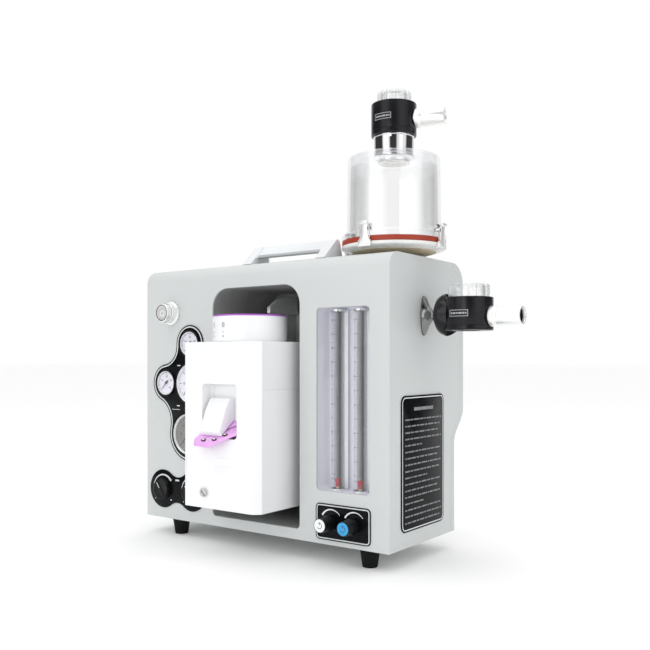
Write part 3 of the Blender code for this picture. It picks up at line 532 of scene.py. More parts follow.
def numeral(words, u, v, size, high=0.1 * MM):
    """Upright figures centred on (u, v)."""
    curve = bpy.data.curves.new("figure", "FONT")
    curve.body = words
    curve.size = size
    curve.align_x, curve.align_y = "CENTER", "CENTER"
    curve.extrude = high / 2
    curve.resolution_u = 3
    holder = bpy.data.objects.new("figure", curve)
    bpy.context.scene.collection.objects.link(holder)
    bpy.context.view_layer.update()
    seen = holder.evaluated_get(bpy.context.evaluated_depsgraph_get())
    made = bmesh.new()
    made.from_mesh(seen.to_mesh())
    seen.to_mesh_clear()
    bpy.data.objects.remove(holder)
    bpy.data.curves.remove(curve)
    bmesh.ops.translate(made, verts=made.verts, vec=(u, v, high / 2))
    return made


def tube_along(points, radius, steps=10, closed=False):
    """A round wire through the points."""
    rows = []
    count = len(points)
    up = Z
    for i, point in enumerate(points):
        before = points[i - 1] if closed or i else point
        after = points[(i + 1) % count] if closed or i < count - 1 else point
        along = (after - before).normalized()
        side = along.cross(up)
        side = side.normalized() if side.length > 1e-4 else along.cross(Y).normalized()
        over = side.cross(along).normalized()
        rows.append([tuple(point + radius * (side * cos(2 * pi * k / steps) + over * sin(2 * pi * k / steps)))
                     for k in range(steps)])
    if closed:
        rows.append(rows[0])
    return loft(rows, caps=not closed)


def centre_of(node):
    low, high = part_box(node)
    return (low + high) / 2


def half_width(node):
    low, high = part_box(node)
    return (high.x - low.x) / 2


# ---------------------------------------------------------------- case
CASE_D = COVER_HIGH.y - FRONT_Y
LOW_D = CASE_D - 27 * MM           # depth below the step in the back
STEP = (121 * MM, 166 * MM)        # heights between which the back steps out
FRONT_RADIUS, BACK_RADIUS = 20 * MM, 31 * MM
WALL, BAND, GAP = 3 * MM, 10 * MM, 0.3 * MM
LABEL_W = 1.3 * MM                 # how far a stuck-on plate's face stands out

LINER_LOW, LINER_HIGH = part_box("bay_liner")
LINER_T = 2 * MM
BAY = (LINER_LOW.x + LINER_T, LINER_HIGH.x - LINER_T, LINER_LOW.z + LINER_T, LINER_HIGH.z - LINER_T)
BAY_RADII = (27 * MM, 6 * MM)
PANE_LOW, PANE_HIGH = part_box("flow_window")
WINDOW = (PANE_LOW.x - GAP, PANE_HIGH.x + GAP, PANE_LOW.z - GAP, PANE_HIGH.z + GAP)
WINDOW_RADIUS = 6 * MM
GAUGES = ("gauge_top", "gauge_left", "gauge_middle", "gauge_lower")
SELECTOR_KNOBS = ("selector_knob_left", "selector_knob_right")
FLOW_SIDES = ("left", "right")
CAN = centre_of("absorber_dome")
VALVE = centre_of("side_valve_cap")
VALVE_R = half_width("upper_valve_body")
TRAY_SLOPE = 0.80                  # how steeply the filler tray rises towards the back


def side_back(inset, steps=16):
    """The case's back in side view as (y, z), bottom to top, moved in by inset."""
    points = [(FRONT_Y + LOW_D - inset, CORNER.z)]
    for i in range(steps + 1):
        t = i / steps
        y = LOW_D + (CASE_D - LOW_D) * (1 - cos(pi * t)) / 2
        points.append((FRONT_Y + y - inset, CORNER.z + STEP[0] + (STEP[1] - STEP[0]) * t))
    y, z = FRONT_Y + CASE_D - BACK_RADIUS, CASE_TOP - BACK_RADIUS
    return points + arc_points(y, z, BACK_RADIUS - inset, 0.0, 0.5 * pi, steps)


def side_front(inset, steps=16):
    """The case's front in side view as (y, z), top to bottom, moved in by inset."""
    y, z = FRONT_Y + FRONT_RADIUS, CASE_TOP - FRONT_RADIUS
    return arc_points(y, z, FRONT_RADIUS - inset, 0.5 * pi, pi, steps) + [(FRONT_Y + inset, CORNER.z)]


def across(outline, left, right):
    """A (y, z) outline drawn out along x."""
    return loft([[(x, y, z) for y, z in outline] for x in (left, right)])


def through_front(outline, near=-10 * MM, far=10 * MM):
    """An (x, z) outline drawn out along y through the front panel."""
    return loft([[(x, FRONT_Y + y, z) for x, z in outline] for y in (near, far)])


def make_case():
    inner = side_back(WALL)
    inner[0] = (inner[0][0], CORNER.z + WALL)
    inner += side_front(WALL)
    inner[-1] = (inner[-1][0], CORNER.z + WALL)
    hollow = across(inner, LEFT_X + WALL, RIGHT_X - WALL)
    seam = BAND + GAP
    split_y = FRONT_Y + CASE_D - BACK_RADIUS - GAP
    shell = side_back(seam)
    shell[-1] = (split_y, CASE_TOP - seam)
    shell += [(split_y, CASE_TOP)] + side_front(0.0)
    cutters = [hollow, through_front(rounded_box(*BAY, *BAY_RADII, steps=10)),
               through_front(rounded_box(*WINDOW, WINDOW_RADIUS))]
    for name in GAUGES:
        middle = centre_of(name)
        cutters.append(through_front(circle(middle.x, middle.z, half_width(name) - 2 * MM)))
    flush = centre_of("flush_button")
    cutters.append(through_front(circle(flush.x, flush.z, 11.5 * MM)))
    neck = spin([(0, -12 * MM), (16.5 * MM, -12 * MM), (16.5 * MM, 12 * MM), (0, 12 * MM)], 48)
    bmesh.ops.translate(neck, verts=neck.verts, vec=(CAN.x, CAN.y, CASE_TOP))
    cutters.append(neck)
    body = carved(across(shell, LEFT_X, RIGHT_X), cutters, bevel=1.1 * MM)
    add("case_shell_coated", body, "case", Matrix.Identity(4), "machine", ["case_shell"])

    band = side_back(0.0) + side_back(BAND)[::-1]
    inside = across(inner, LEFT_X + WALL, RIGHT_X - WALL)
    sinks = []
    for place in cover_screw_places():
        sink = spin(scaled([(0, -1.7), (1.7, -1.7), (3.3, 0), (3.3, 2), (0, 2)]), 32)
        bmesh.ops.transform(sink, matrix=place, verts=sink.verts)
        sinks.append(sink)
    cover = carved(across(band, LEFT_X, RIGHT_X), [inside, join(sinks)], bevel=0.7 * MM, angle=46)
    add("rear_cover_coated", cover, "case", Matrix.Identity(4), "machine", ["rear_cover"])
    make_cover_screws()


def cover_screw_places():
    """Where the screws sit on the back of the rear cover, above and below its step."""
    low_y, high_y = FRONT_Y + LOW_D, FRONT_Y + CASE_D
    edge = 12 * MM
    return [on_back(x, CORNER.z + z, y) for x in (LEFT_X + edge, 0.5 * (LEFT_X + RIGHT_X), RIGHT_X - edge)
            for y, z in ((low_y, 12 * MM), (low_y, 104 * MM), (high_y, 182 * MM), (high_y, 322 * MM))]


def make_cover_screws():
    """Countersunk screws round the rear cover, with their cross slots."""
    head = rounded(scaled([(0, -2.6), (1.5, -2.6), (1.5, -1.65), (3.0, -0.2, 0.1), (0, -0.1)]), closed=False)
    screws = []
    for place in cover_screw_places():
        cross = [slab(rounded_box(-a, a, -b, b, 0.2 * MM, steps=2), -1.1 * MM, 1 * MM)
                 for a, b in ((1.7 * MM, 0.35 * MM), (0.35 * MM, 1.7 * MM))]
        screws.append((carved(spin(head, 32), cross), place))
    add("cover_screws", join(screws), "steel", Matrix.Identity(4), "machine")


def make_bay():
    """The bay's lining: a deep tray with round corners, open to the front."""
    near = LINER_LOW.y
    far, floor = LINER_HIGH.y, LINER_HIGH.y - 2.5 * MM
    rows = []
    for grow, y in ((0.0, floor), (0.0, near), (LINER_T, near), (LINER_T, far)):
        outline = rounded_box(*BAY, *BAY_RADII, grow=grow, steps=12)
        rows.append([(x, y, z) for x, z in outline])
    add("bay_liner_coated", loft(rows), "bay", Matrix.Identity(4), "machine", ["bay_liner"])


def make_feet():
    for name in ("foot_front_left", "foot_front_right", "foot_back_left", "foot_back_right"):
        low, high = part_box(name)
        top, foot_h = half_width(name), high.z - low.z
        profile = rounded([(0, 0), (9.5 * MM, 0, 1.2 * MM), (top - 0.8 * MM, foot_h - 4 * MM, 0.6 * MM),
                           (top, foot_h - 3 * MM, 0.6 * MM), (top, foot_h, 0.4 * MM), (0, foot_h)],
                          closed=False)
        middle = centre_of(name)
        add(name + "_moulded", spin(profile, 48), "rubber", on_top(middle.x, middle.y, low.z),
            "machine", [name])


def make_handle():
    low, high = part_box("carry_handle")
    base, leg_t = low.z, 15 * MM
    edge_bevel = 1.0 * MM
    leg = rounded([(16, 0), (59, 0), (56.5, 10), (53.5, 20), (50.5, 26.5, 2), (45, 26.5, 3)], 4)
    leg = [(FRONT_Y + y * MM, base + z * MM) for y, z in leg]
    grip = rounded([(28.5, 9.5, 0.8), (45.5, 26.2, 3), (52, 26.2, 4), (58, 23.5, 4), (61, 15, 1.4),
                    (57.5, 14.5, 1), (54.5, 20, 3), (51, 21.2, 2), (48, 21.2, 2), (33, 8.5, 0.8)], 4)
    grip = [(FRONT_Y + y * MM, base + z * MM) for y, z in grip]
    left, right = low.x, high.x
    body = carved(across(leg, left, left + leg_t),
                  [across(grip, left + leg_t - 2 * MM, right - leg_t + 2 * MM),
                   across(leg, right - leg_t, right)], bevel=edge_bevel, operation="UNION", angle=40)
    add("carry_handle_coated", body, "handle", Matrix.Identity(4), "machine", ["carry_handle"])
    # The ribs along the grip's lower edge are painted dark grey as painted shade for the shadowed underside.
    ribs = []
    count = 26
    span = right - left - 2 * leg_t - 4 * MM
    for i in range(count):
        x = left + leg_t + 2 * MM + span * (i + 0.5) / count
        rib = rounded([(27.9, 9.2, 0.3), (32.0, 13.6, 0.3), (33.0, 12.4, 0.3), (33.4, 9.4, 0.5),
                       (32.6, 8.0, 0.3)], 2)
        ribs.append(across([(FRONT_Y + y * MM, base + z * MM) for y, z in rib], x - 0.9 * MM, x + 0.9 * MM))
    add("handle_ribs", join(ribs), "handle_rib_painted_shade", Matrix.Identity(4), "machine")


# ---------------------------------------------------------------- gauges
LOBES = {"gauge_lower": 38.5 * MM, "gauge_middle": 36.0 * MM, "gauge_top": 27.0 * MM,
         "gauge_left": 27.2 * MM}
GAUGE_FILLETS = [10 * MM, 20 * MM, 28 * MM, 35 * MM]
SWEEP_START, SWEEP_END = radians(225), radians(-45)


def make_gauge_plate():
    lobes = [(centre_of(n).x, centre_of(n).z, r) for n, r in LOBES.items()]
    holes = [slab(circle(centre_of(n).x, centre_of(n).z, half_width(n) + GAP), -2 * MM, 4 * MM)
             for n in GAUGES]
    plate = carved(slab(lobed(lobes, GAUGE_FILLETS), GAP, LABEL_W, 0.25 * MM), holes)
    add("gauge_plate", plate, "plate", on_front(), "machine", ["gauge_label"])
    line = framed(lobed(lobes, GAUGE_FILLETS, 1.9 * MM), lobed(lobes, GAUGE_FILLETS, 3.7 * MM),
                  LABEL_W - 0.05 * MM, LABEL_W + 0.08 * MM)
    add("gauge_plate_line", line, "line", on_front(), "machine")
    lower, middle = centre_of("gauge_lower"), centre_of("gauge_middle")
    face = LABEL_W - 0.02 * MM
    marks = []
    for x, z, size in ((lower.x - 26 * MM, lower.z + 35.0 * MM, 16 * MM),
                       (lower.x - 21 * MM, lower.z + 40.5 * MM, 6 * MM),
                       (middle.x - 26 * MM, middle.z + 26 * MM, 6 * MM),
                       (middle.x - 9 * MM, middle.z + 34.8 * MM, 5 * MM)):
        thick = 0.7 * MM if size > 10 * MM else 1.5 * MM
        marks.append(bar(x - size / 2, z, x + size / 2, z, thick, face, LABEL_W + 0.08 * MM))
    add("gauge_plate_marks", join(marks), "line", on_front(), "machine")


def make_gauge(name):
    """A gauge: case and bezel, bright ring, printed dial, needle's hub and a domed lens."""
    middle, radius = centre_of(name), half_width(name)
    place = on_front(middle.x, middle.z)
    big = radius > 25 * MM
    face, rim = 0.8 * MM, 2.2 * MM
    dial_r = radius - rim
    bezel = rounded([(0, -28 * MM), (6 * MM, -28 * MM, 0.5 * MM), (6 * MM, -20 * MM),
                     (radius - 2.5 * MM, -18 * MM, 1 * MM), (radius - 2.5 * MM, 0.3 * MM),
                     (radius, 0.3 * MM, 0.2 * MM), (radius, 4 * MM, 1.1 * MM),
                     (dial_r + 0.2 * MM, 4 * MM, 0.5 * MM), (dial_r, face), (0, face)], closed=False)
    add(name + "_bezel", spin(bezel, 96), "gauge_rim", place, "machine", [name])
    ring_w = 2.4 * MM if big else 1.5 * MM
    ring = rounded([(dial_r - ring_w, face), (dial_r - 0.05 * MM, face),
                    (dial_r - 0.05 * MM, 3.4 * MM, 0.3 * MM),
                    (dial_r - 0.7 * MM, 3.4 * MM, 0.4 * MM), (dial_r - ring_w, 1.3 * MM, 0.3 * MM)])
    add(name + "_ring", spin(ring, 96, ring=True), "gauge_ring", place, "machine")
    seen = dial_r - ring_w
    # The lower gauge's dial is painted darker: its own beige plus painted shade from the vaporizer's shadow.
    add(name + "_dial", spin([(0, face), (seen, face), (seen, face + 0.15 * MM), (0, face + 0.15 * MM)], 72),
        "dial_beige_painted_shade" if name == "gauge_lower" else "dial", place, "machine")
    add(name + "_marks", dial_marks(seen, big, face + 0.13 * MM), "ink_dark", place, "machine")
    hub_node = name.replace("gauge", "needle")
    hub = rounded([(0, 1.2 * MM), (0.9 * MM, 1.2 * MM), (0.9 * MM, 2.5 * MM),
                   (radius * 0.10, 2.5 * MM, 0.2 * MM),
                   (radius * 0.09, 3.0 * MM, 0.3 * MM), (0, 3.0 * MM)], closed=False)
    add(hub_node + "_hub", spin(hub, 40), "needle", place, hub_node)
    lens_r = dial_r - 0.8 * MM
    lens = [(0, 3.25 * MM), (lens_r, 3.15 * MM), (lens_r, 3.45 * MM)]
    lens += [(lens_r * cos(a), 3.45 * MM + 0.5 * MM * sin(a))
             for a in [0.5 * pi * i / 8 for i in range(1, 8)]]
    add(name + "_lens", spin(lens + [(0, 3.95 * MM)], 72), "lens", place, "machine")


def dial_marks(radius, big, face):
    marks = []
    minor, major = (5, 7) if big else (2, 5)
    total = minor * (major - 1)
    for i in range(total + 1):
        a = SWEEP_START + (SWEEP_END - SWEEP_START) * i / total
        long = i % minor == 0
        outer, inner = radius * 0.93, radius * (0.76 if long else 0.85)
        wide = (0.55 if long else 0.30) * MM * (1.2 if big else 0.9)
        marks.append(bar(inner * cos(a), inner * sin(a), outer * cos(a), outer * sin(a), wide,
                         face, face + 0.08 * MM))
        if long:
            size = radius * (0.20 if big else 0.26)
            figure = numeral(str(i // minor * 10), radius * 0.60 * cos(a), radius * 0.60 * sin(a), size)
            marks.append((figure, Matrix.Translation((0, 0, face))))
    marks.append(bow(0, 0, radius * 0.95, SWEEP_END, SWEEP_START, 0.3 * MM, 0.3 * MM, face,
                     face + 0.08 * MM, 60))
    return join(marks)


# ---------------------------------------------------------------- selectors and flush valve
def make_selectors():
    centres = [(centre_of(n).x, centre_of(n).z) for n in SELECTOR_KNOBS]
    lobes = [(x, z, 28 * MM) for x, z in centres]
    outline = lobed(lobes, [21.8 * MM] * 2)
    holes = [slab(circle(x, z, 4.5 * MM), -2 * MM, 4 * MM) for x, z in centres]
    plate = carved(slab(outline, GAP, LABEL_W, 0.25 * MM), holes)
    add("selector_plate", plate, "plate", on_front(), "machine", ["selector_label"])
    marks = []
    low, high = LABEL_W - 0.03 * MM, LABEL_W + 0.08 * MM
    for x, z in centres:
        marks.append(bow(x, z, 20.5 * MM, radians(195), radians(38), 0.5 * MM, 3.2 * MM, low, high))
        marks.append(slab(circle(x + 16.5 * MM, z - 15.5 * MM, 1.3 * MM, 20), low, high))
        marks.append(slab(circle(x - 16.5 * MM, z - 15.5 * MM, 0.8 * MM, 20), low, high))
    middle_x = sum(x for x, _ in centres) / 2
    middle_z = centres[0][1]
    marks.append(slab(rounded_box(middle_x - 4 * MM, middle_x + 4 * MM, middle_z + 13.2 * MM,
                                  middle_z + 15.6 * MM, 0.8 * MM), low, high))
    add("selector_marks", join(marks), "line", on_front(), "machine")
    for name in SELECTOR_KNOBS:
        make_selector_knob(name)


def make_selector_knob(name):
    """A round fluted knob with a raised grip bar and a white pointer."""
    middle, radius = centre_of(name), half_width(name)
    place = on_front(middle.x, middle.z)
    back, top = 1.6 * MM, 8.8 * MM
    flutes, steps = 30, 180
    rows = []
    for inset, w in ((0.2, back), (0.0, back + 0.3 * MM), (0.2, top - 2.2 * MM), (0.9, top - 1.0 * MM),
                     (2.0, top - 0.5 * MM), (3.2, top - 0.8 * MM)):
        depth = 0.28 * MM if inset < 0.9 else 0.0
        rows.append([((radius - inset * MM - depth * (0.5 + 0.5 * cos(flutes * a))) * cos(a),
                      (radius - inset * MM - depth * (0.5 + 0.5 * cos(flutes * a))) * sin(a), w)
                     for a in [2 * pi * i / steps for i in range(steps)]])
    shaft = spin([(0, -20 * MM), (3 * MM, -20 * MM), (3 * MM, back + 0.2 * MM), (0, back + 0.2 * MM)], 32)
    grip = slab(rounded_box(-2.6 * MM, 2.6 * MM, -radius + 3.4 * MM, radius - 3.4 * MM, 2.5 * MM),
                top - 1.2 * MM, top, 0.6 * MM, 3)
    turn = Matrix.Rotation(radians(35), 4, "Z")
    whole = join([loft(rows), shaft, (grip, turn)])
    add(name + "_moulded", whole, "knob", place, name, [name])
    pointer = bar(0, 2 * MM, 0, radius - 4.2 * MM, 0.9 * MM, top - 0.05 * MM, top + 0.05 * MM)
    add(name + "_pointer", pointer, "ink_white", place @ turn, name)


def make_flush():
    """The oxygen flush: a stepped bright collar and a push button with a dark seal round it."""
    middle = centre_of("flush_button")
    place = on_front(middle.x, middle.z)
    profile = [(0, -34), (7, -34), (7, -18), (11.2, -18), (11.2, 0.3), (17.2, 0.3, 0.2), (17.2, 3.2, 1.4),
               (15.6, 4.4, 0.5), (15.6, 5.2, 0.3), (15.0, 5.6, 0.3), (15.0, 12, 1.2), (13.6, 12, 0.3),
               (13.6, 1), (4, 1), (4, -12), (0, -12)]
    add("flush_collar", spin(rounded(scaled(profile), closed=False), 96), "plated_and_painted_lit_end", place, "machine",
        ["flush_valve"])
    button = [(0, -6), (3.5, -6), (3.5, 8), (13.2, 8, 0.2), (13.2, 20, 0.9), (11.6, 20, 0.3),
              (11.3, 19.2, 0.2),
              (4.4, 19.2, 0.2), (4.1, 19.5, 0.2), (3.3, 19.5, 0.2), (3.0, 19.2, 0.2), (0, 19.2)]
    add("flush_button_plated", spin(rounded(scaled(button), closed=False), 96), "plated_and_painted_lit_end", place,
        "flush_button", ["flush_button"])
    seal = scaled([(10.6, 19.0), (11.6, 19.0), (11.6, 19.75, 0.1), (10.6, 19.75, 0.1)])
    add("flush_button_seal", spin(rounded(seal), 96, ring=True), "seal_black_and_bore_shade", place, "flush_button")
    gaiter = rounded(scaled([(13.25, 2), (13.55, 2), (13.55, 11.7), (13.25, 11.7)]))
    add("flush_collar_seal", spin(gaiter, 72, ring=True), "seal_black_and_bore_shade", place, "machine")


def scaled(points, unit=MM):
    return [tuple(value * unit for value in point) for point in points]


# ---------------------------------------------------------------- flow meters
def make_flow_window():
    low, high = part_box("flow_housing")
    near, far, floor = low.y, high.y, high.y - 14 * MM
    inner = rounded_box(*WINDOW, WINDOW_RADIUS, steps=8)
    outer = rounded_box(low.x, high.x, low.z, high.z, 1 * MM, steps=8)
    soft = rounded_box(*WINDOW, WINDOW_RADIUS, grow=-1.5 * MM, steps=8)
    rows = [[(x, y, z) for x, z in line] for line, y in
            ((soft, floor), (inner, floor - 1.5 * MM), (inner, near), (outer, near), (outer, far))]
    add("flow_housing_panel", loft(rows), "lavender", Matrix.Identity(4), "machine", ["flow_housing"])
    pane = slab(rounded_box(*WINDOW, WINDOW_RADIUS, grow=-GAP, steps=8), -2.6 * MM, -0.6 * MM, 0.4 * MM, 3)
    add("flow_window_pane", pane, "pane", on_front(), "machine", ["flow_window"])
    for side in FLOW_SIDES:
        make_flow_tube(side)


def make_flow_tube(side):
    node = "flow_tube_" + side
    middle, radius = centre_of(node), half_width(node)
    low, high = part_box(node)
    place = on_top(middle.x, middle.y, low.z)
    height = high.z - low.z
    bore = 4.5 * MM
    wall = rounded([(bore, 0), (radius, 0, 0.5 * MM), (radius, height, 0.5 * MM), (bore, height)])
    add(node + "_glass", spin(wall, 64, ring=True), "tube", place, "machine", [node])
    backing = slab(rounded_box(-9.6 * MM, 9.6 * MM, 0.5 * MM, height - 0.5 * MM, 1 * MM), 0.0, 0.6 * MM)
    strip_y = middle.y + radius + 0.9 * MM
    add(node + "_backing", backing, "ink_white", on_front(middle.x, low.z, strip_y), "machine")
    sockets = [(spin(scaled([(4.6, -0.6), (9.6, -0.6), (9.6, 2.0), (8.7, 2.0), (8.7, 0.1), (4.6, 0.1)]), 48,
                     ring=True), None)]
    top = spin(scaled([(4.6, -0.1), (8.7, -0.1), (8.7, -2.0), (9.6, -2.0), (9.6, 0.6), (4.6, 0.6)]), 48,
               ring=True)
    sockets.append((top, Matrix.Translation((0, 0, height))))
    add(node + "_sockets", join(sockets), "aluminium", place, "machine")
    add(node + "_scale", flow_scale(height), "ink_dark",
        on_front(middle.x, low.z, middle.y - radius - 0.05 * MM), "machine")
    float_node = "float_" + side
    rest, top_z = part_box(float_node)
    big = half_width(float_node)
    cone = rounded([(0, 3.0 * MM), (big * 0.72, 3.0 * MM), (big * 0.80, 8 * MM, 1 * MM),
                    (big, 10 * MM, 0.4 * MM),
                    (big, top_z.z - rest.z, 0.5 * MM), (0, top_z.z - rest.z)], closed=False)
    add(float_node + "_bob", spin(cone, 40), "red", on_top(middle.x, middle.y, rest.z), float_node,
        [float_node])
    foot = rounded([(0, 0), (big * 0.5, 0, 0.4 * MM), (big * 0.72, 1.2 * MM, 0.5 * MM),
                    (big * 0.72, 3.0 * MM), (0, 3.0 * MM)], closed=False)
    add(float_node + "_foot", spin(foot, 40), "cream", on_top(middle.x, middle.y, rest.z), float_node)


def flow_scale(height):
    """A figure for each major step, short ticks between them and fine ticks on the right."""
    marks = []
    majors, minors = 12, 5
    start, step = 21 * MM, (height - 34 * MM) / 11
    for i in range(majors):
        v = start + step * i
        marks.append(numeral(str(i + 1), -3.2 * MM, v, 3.9 * MM))
        marks.append(bar(-0.6 * MM, v, 2.2 * MM, v, 0.50 * MM))
        for k in range(1, minors):
            if i == majors - 1:
                break
            w = v + step * k / minors
            marks.append(bar(-0.2 * MM, w, 1.2 * MM, w, 0.28 * MM))
            if k % 2 == 0:
                marks.append(bar(-3.8 * MM, w, -2.4 * MM, w, 0.28 * MM))
    marks.append(bar(-4.2 * MM, 14.6 * MM, 1.6 * MM, 14.6 * MM, 0.5 * MM))
    return join(marks)


def make_control_plate():
    low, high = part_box("control_plate")
    box = (low.x, high.x, low.z, high.z)
    centres = [(centre_of("flow_knob_" + s).x, centre_of("flow_knob_" + s).z) for s in FLOW_SIDES]
    holes = [slab(circle(x, z, 4.5 * MM), -2 * MM, 4 * MM) for x, z in centres]
    plate = carved(slab(rounded_box(*box, 6 * MM), GAP, LABEL_W, 0.25 * MM), holes)
    add("control_plate_gloss", plate, "plate", on_front(), "machine", ["control_plate"])
    face, proud = LABEL_W - 0.03 * MM, LABEL_W + 0.08 * MM
    line = framed(rounded_box(*box, 6 * MM, grow=-1.5 * MM), rounded_box(*box, 6 * MM, grow=-2.9 * MM),
                  face, proud)
    add("control_plate_line", line, "line", on_front(), "machine")
    arcs = [bow(x, z, 16.2 * MM, radians(150), radians(38), 2.3 * MM, 0.7 * MM, face, proud)
            for x, z in centres]
    add("control_plate_arcs", join(arcs), "ink_white", on_front(), "machine")
    for side, cap in zip(FLOW_SIDES, ("cap_white", "cap_blue")):
        make_flow_knob("flow_knob_" + side, cap)


def make_flow_knob(node, cap):
    middle, radius = centre_of(node), half_width(node)
    place = on_front(middle.x, middle.z)
    reach = FRONT_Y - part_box(node)[0].y
    flutes, steps = 24, 144
    rows = []
    for r, w, depth in ((7.5 * MM, 1.6 * MM, 0), (8.6 * MM, 3.4 * MM, 0), (radius, 8.0 * MM, 0.20),
                        (radius, 12 * MM, 0.22), (9.5 * MM, 18 * MM, 0.26),
                        (9.2 * MM, reach - 1.4 * MM, 0.26),
                        (8.9 * MM, reach - 0.6 * MM, 0), (8.5 * MM, reach - 0.35 * MM, 0)):
        rows.append([((r - depth * MM * (0.5 + 0.5 * cos(flutes * a))) * cos(a),
                      (r - depth * MM * (0.5 + 0.5 * cos(flutes * a))) * sin(a), w)
                     for a in [2 * pi * i / steps for i in range(steps)]])
    shaft = spin(scaled([(0, -24), (3, -24), (3, 1.8), (0, 1.8)]), 32)
    add(node + "_moulded", join([loft(rows), shaft]), "knob", place, node, [node])
    disc = rounded([(0, reach - 0.8 * MM), (8.1 * MM, reach - 0.8 * MM),
                    (8.1 * MM, reach - 0.05 * MM, 0.3 * MM),
                    (0, reach + 0.05 * MM)], closed=False)
    add(node + "_cap", spin(disc, 72), cap, place, node)
    face = reach - 0.02 * MM
    marks = [bow(0, 0, 3.4 * MM, radians(120), radians(-150), 0.7 * MM, 0.7 * MM, face, face + 0.1 * MM),
             bar(0, 0.6 * MM, 0, 4.6 * MM, 0.7 * MM, face, face + 0.1 * MM)]
    add(node + "_mark", join(marks), "ink_dark" if cap == "cap_white" else "cap_navy", place, node)


def make_side_label():
    low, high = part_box("side_label")
    box = (low.y, high.y, low.z, high.z)
    plate = slab(rounded_box(*box, 9.5 * MM), GAP, LABEL_W, 0.25 * MM)
    add("side_plate", plate, "plate", on_right(), "machine", ["side_label"])
    face, proud = LABEL_W - 0.03 * MM, LABEL_W + 0.08 * MM
    line = framed(rounded_box(*box, 9.5 * MM, grow=-2.0 * MM), rounded_box(*box, 9.5 * MM, grow=-3.4 * MM),
                  face, proud)
    add("side_plate_line", line, "line", on_right(), "machine")
    # Lines of plain dashes stand for the instructions.
    left, right = low.y + 9 * MM, high.y - 8 * MM
    bars = [bar(left + 22 * MM, high.z - 17 * MM, right - 22 * MM, high.z - 17 * MM, 4.2 * MM, face, proud)]
    words = (9, 5, 12, 7, 4, 10, 6, 8, 11, 3, 7, 9, 5)
    lines, step = 17, 8.0 * MM
    ends = (1.0, 0.97, 0.9, 1.0, 0.45, 0.98, 0.93, 1.0, 0.96, 0.6, 1.0, 0.9, 0.97, 0.5, 0.98, 1.0, 0.95)
    count = 0
    for row in range(lines):
        v = high.z - 30 * MM - row * step
        u, stop = left, left + (right - left) * ends[row]
        while u < stop - 3 * MM:
            word = min(words[count % len(words)] * 1.25 * MM, stop - u)
            bars.append(slab(rounded_box(u, u + word, v - 0.9 * MM, v + 0.9 * MM, 0.6 * MM, steps=2),
                             face, proud))
            u += word + 1.7 * MM
            count += 1
    add("side_plate_dashes", join(bars), "print_dim", on_right(), "machine")


# ---------------------------------------------------------------- vaporizer
def make_vaporizer():
    low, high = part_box("vaporizer_body")
    plan = []
    for x, y, sx, sy, cut in ((low.x, low.y, 1, 1, 3.0), (high.x, low.y, -1, 1, 8.5),
                              (high.x, high.y, -1, -1, 3.0), (low.x, high.y, 1, -1, 3.0)):
        pair = [(x + sx * cut * MM, y, 1.5 * MM), (x, y + sy * cut * MM, 1.5 * MM)]
        plan += pair if sx * sy < 0 else pair[::-1]
    body = slab(rounded(plan, 4), low.z, high.z)
    recess_low, recess_high = CORNER.z + 132.5 * MM, CORNER.z + 202 * MM
    left, right = CORNER.x - 246 * MM, CORNER.x - 186 * MM
    recess_rows = []
    for y, grow in ((low.y - 10 * MM, 0.6 * MM), (low.y + 0.2 * MM, 0.4 * MM), (low.y + 16 * MM, 0.0),
                    (low.y + 19 * MM, -2.4 * MM)):
        recess_rows.append([(x, y, z) for x, z in
                            rounded_box(left, right, recess_low, recess_high, 5 * MM, grow=grow)])
    spindle = spin([(0, -12 * MM), (11 * MM, -12 * MM), (11 * MM, 10 * MM), (0, 10 * MM)], 40)
    dial = centre_of("vaporizer_dial")
    bmesh.ops.translate(spindle, verts=spindle.verts, vec=(dial.x, dial.y, high.z))
    drain = centre_of("drain_screw")
    hole = loft([[(x, y, z) for x, z in circle(drain.x, drain.z, 4.2 * MM)]
                 for y in (low.y - 4 * MM, low.y + 16 * MM)])
    slot_x, slot_z = low.x + 5.5 * MM, low.z + 26 * MM
    slit = loft([[(x, y, z) for x, z in rounded_box(slot_x, slot_x + 0.8 * MM, slot_z, slot_z + 40 * MM,
                                                    0.4 * MM)]
                 for y in (low.y - 2 * MM, low.y + 2 * MM)])
    seam_z = low.z + 0.715 * (high.z - low.z)
    seam = carved(slab(offset(rounded(plan, 4), 3 * MM), seam_z, seam_z + 0.5 * MM),
                  [slab(offset(rounded(plan, 4), -0.5 * MM), seam_z - 2 * MM, seam_z + 3 * MM)])
    keep_front = across([(low.y + 12 * MM, seam_z - 4 * MM), (high.y + 8 * MM, seam_z - 4 * MM),
                         (high.y + 8 * MM, seam_z + 4 * MM), (low.y + 12 * MM, seam_z + 4 * MM)],
                        low.x - 8 * MM, high.x + 8 * MM)
    seam = carved(seam, [keep_front], operation="INTERSECT")
    cut = carved(body, [loft(recess_rows), spindle, hole, slit, seam], bevel=1.3 * MM, steps=4, angle=28)
    add("vaporizer_cover", cut, "white", Matrix.Identity(4), "machine", ["vaporizer_body"])
    make_vaporizer_relief(low, high)
    make_dial()
    make_filler()
    make_drain(low)


def make_vaporizer_relief(low, high):
    """Low raised panels moulded on the vaporizer's front."""
    left = CORNER.x - 240 * MM
    panels = [slab(rounded_box(left, left + 52 * MM, CORNER.z + 213 * MM, CORNER.z + 226 * MM, 3 * MM),
                   -0.2 * MM, 0.45 * MM, 0.3 * MM, 3),
              slab(rounded_box(CORNER.x - 213 * MM, CORNER.x - 188 * MM, CORNER.z + 101 * MM,
                               CORNER.z + 108 * MM, 1.5 * MM), -0.2 * MM, 0.35 * MM, 0.25 * MM, 3),
              slab(rounded_box(CORNER.x - 224 * MM, high.x - 9.5 * MM, low.z + 4 * MM,
                               CORNER.z + 97 * MM, 4 * MM), -0.2 * MM, 0.4 * MM, 0.35 * MM, 3)]
    add("vaporizer_relief", join(panels), "white", on_front(y=low.y), "machine")


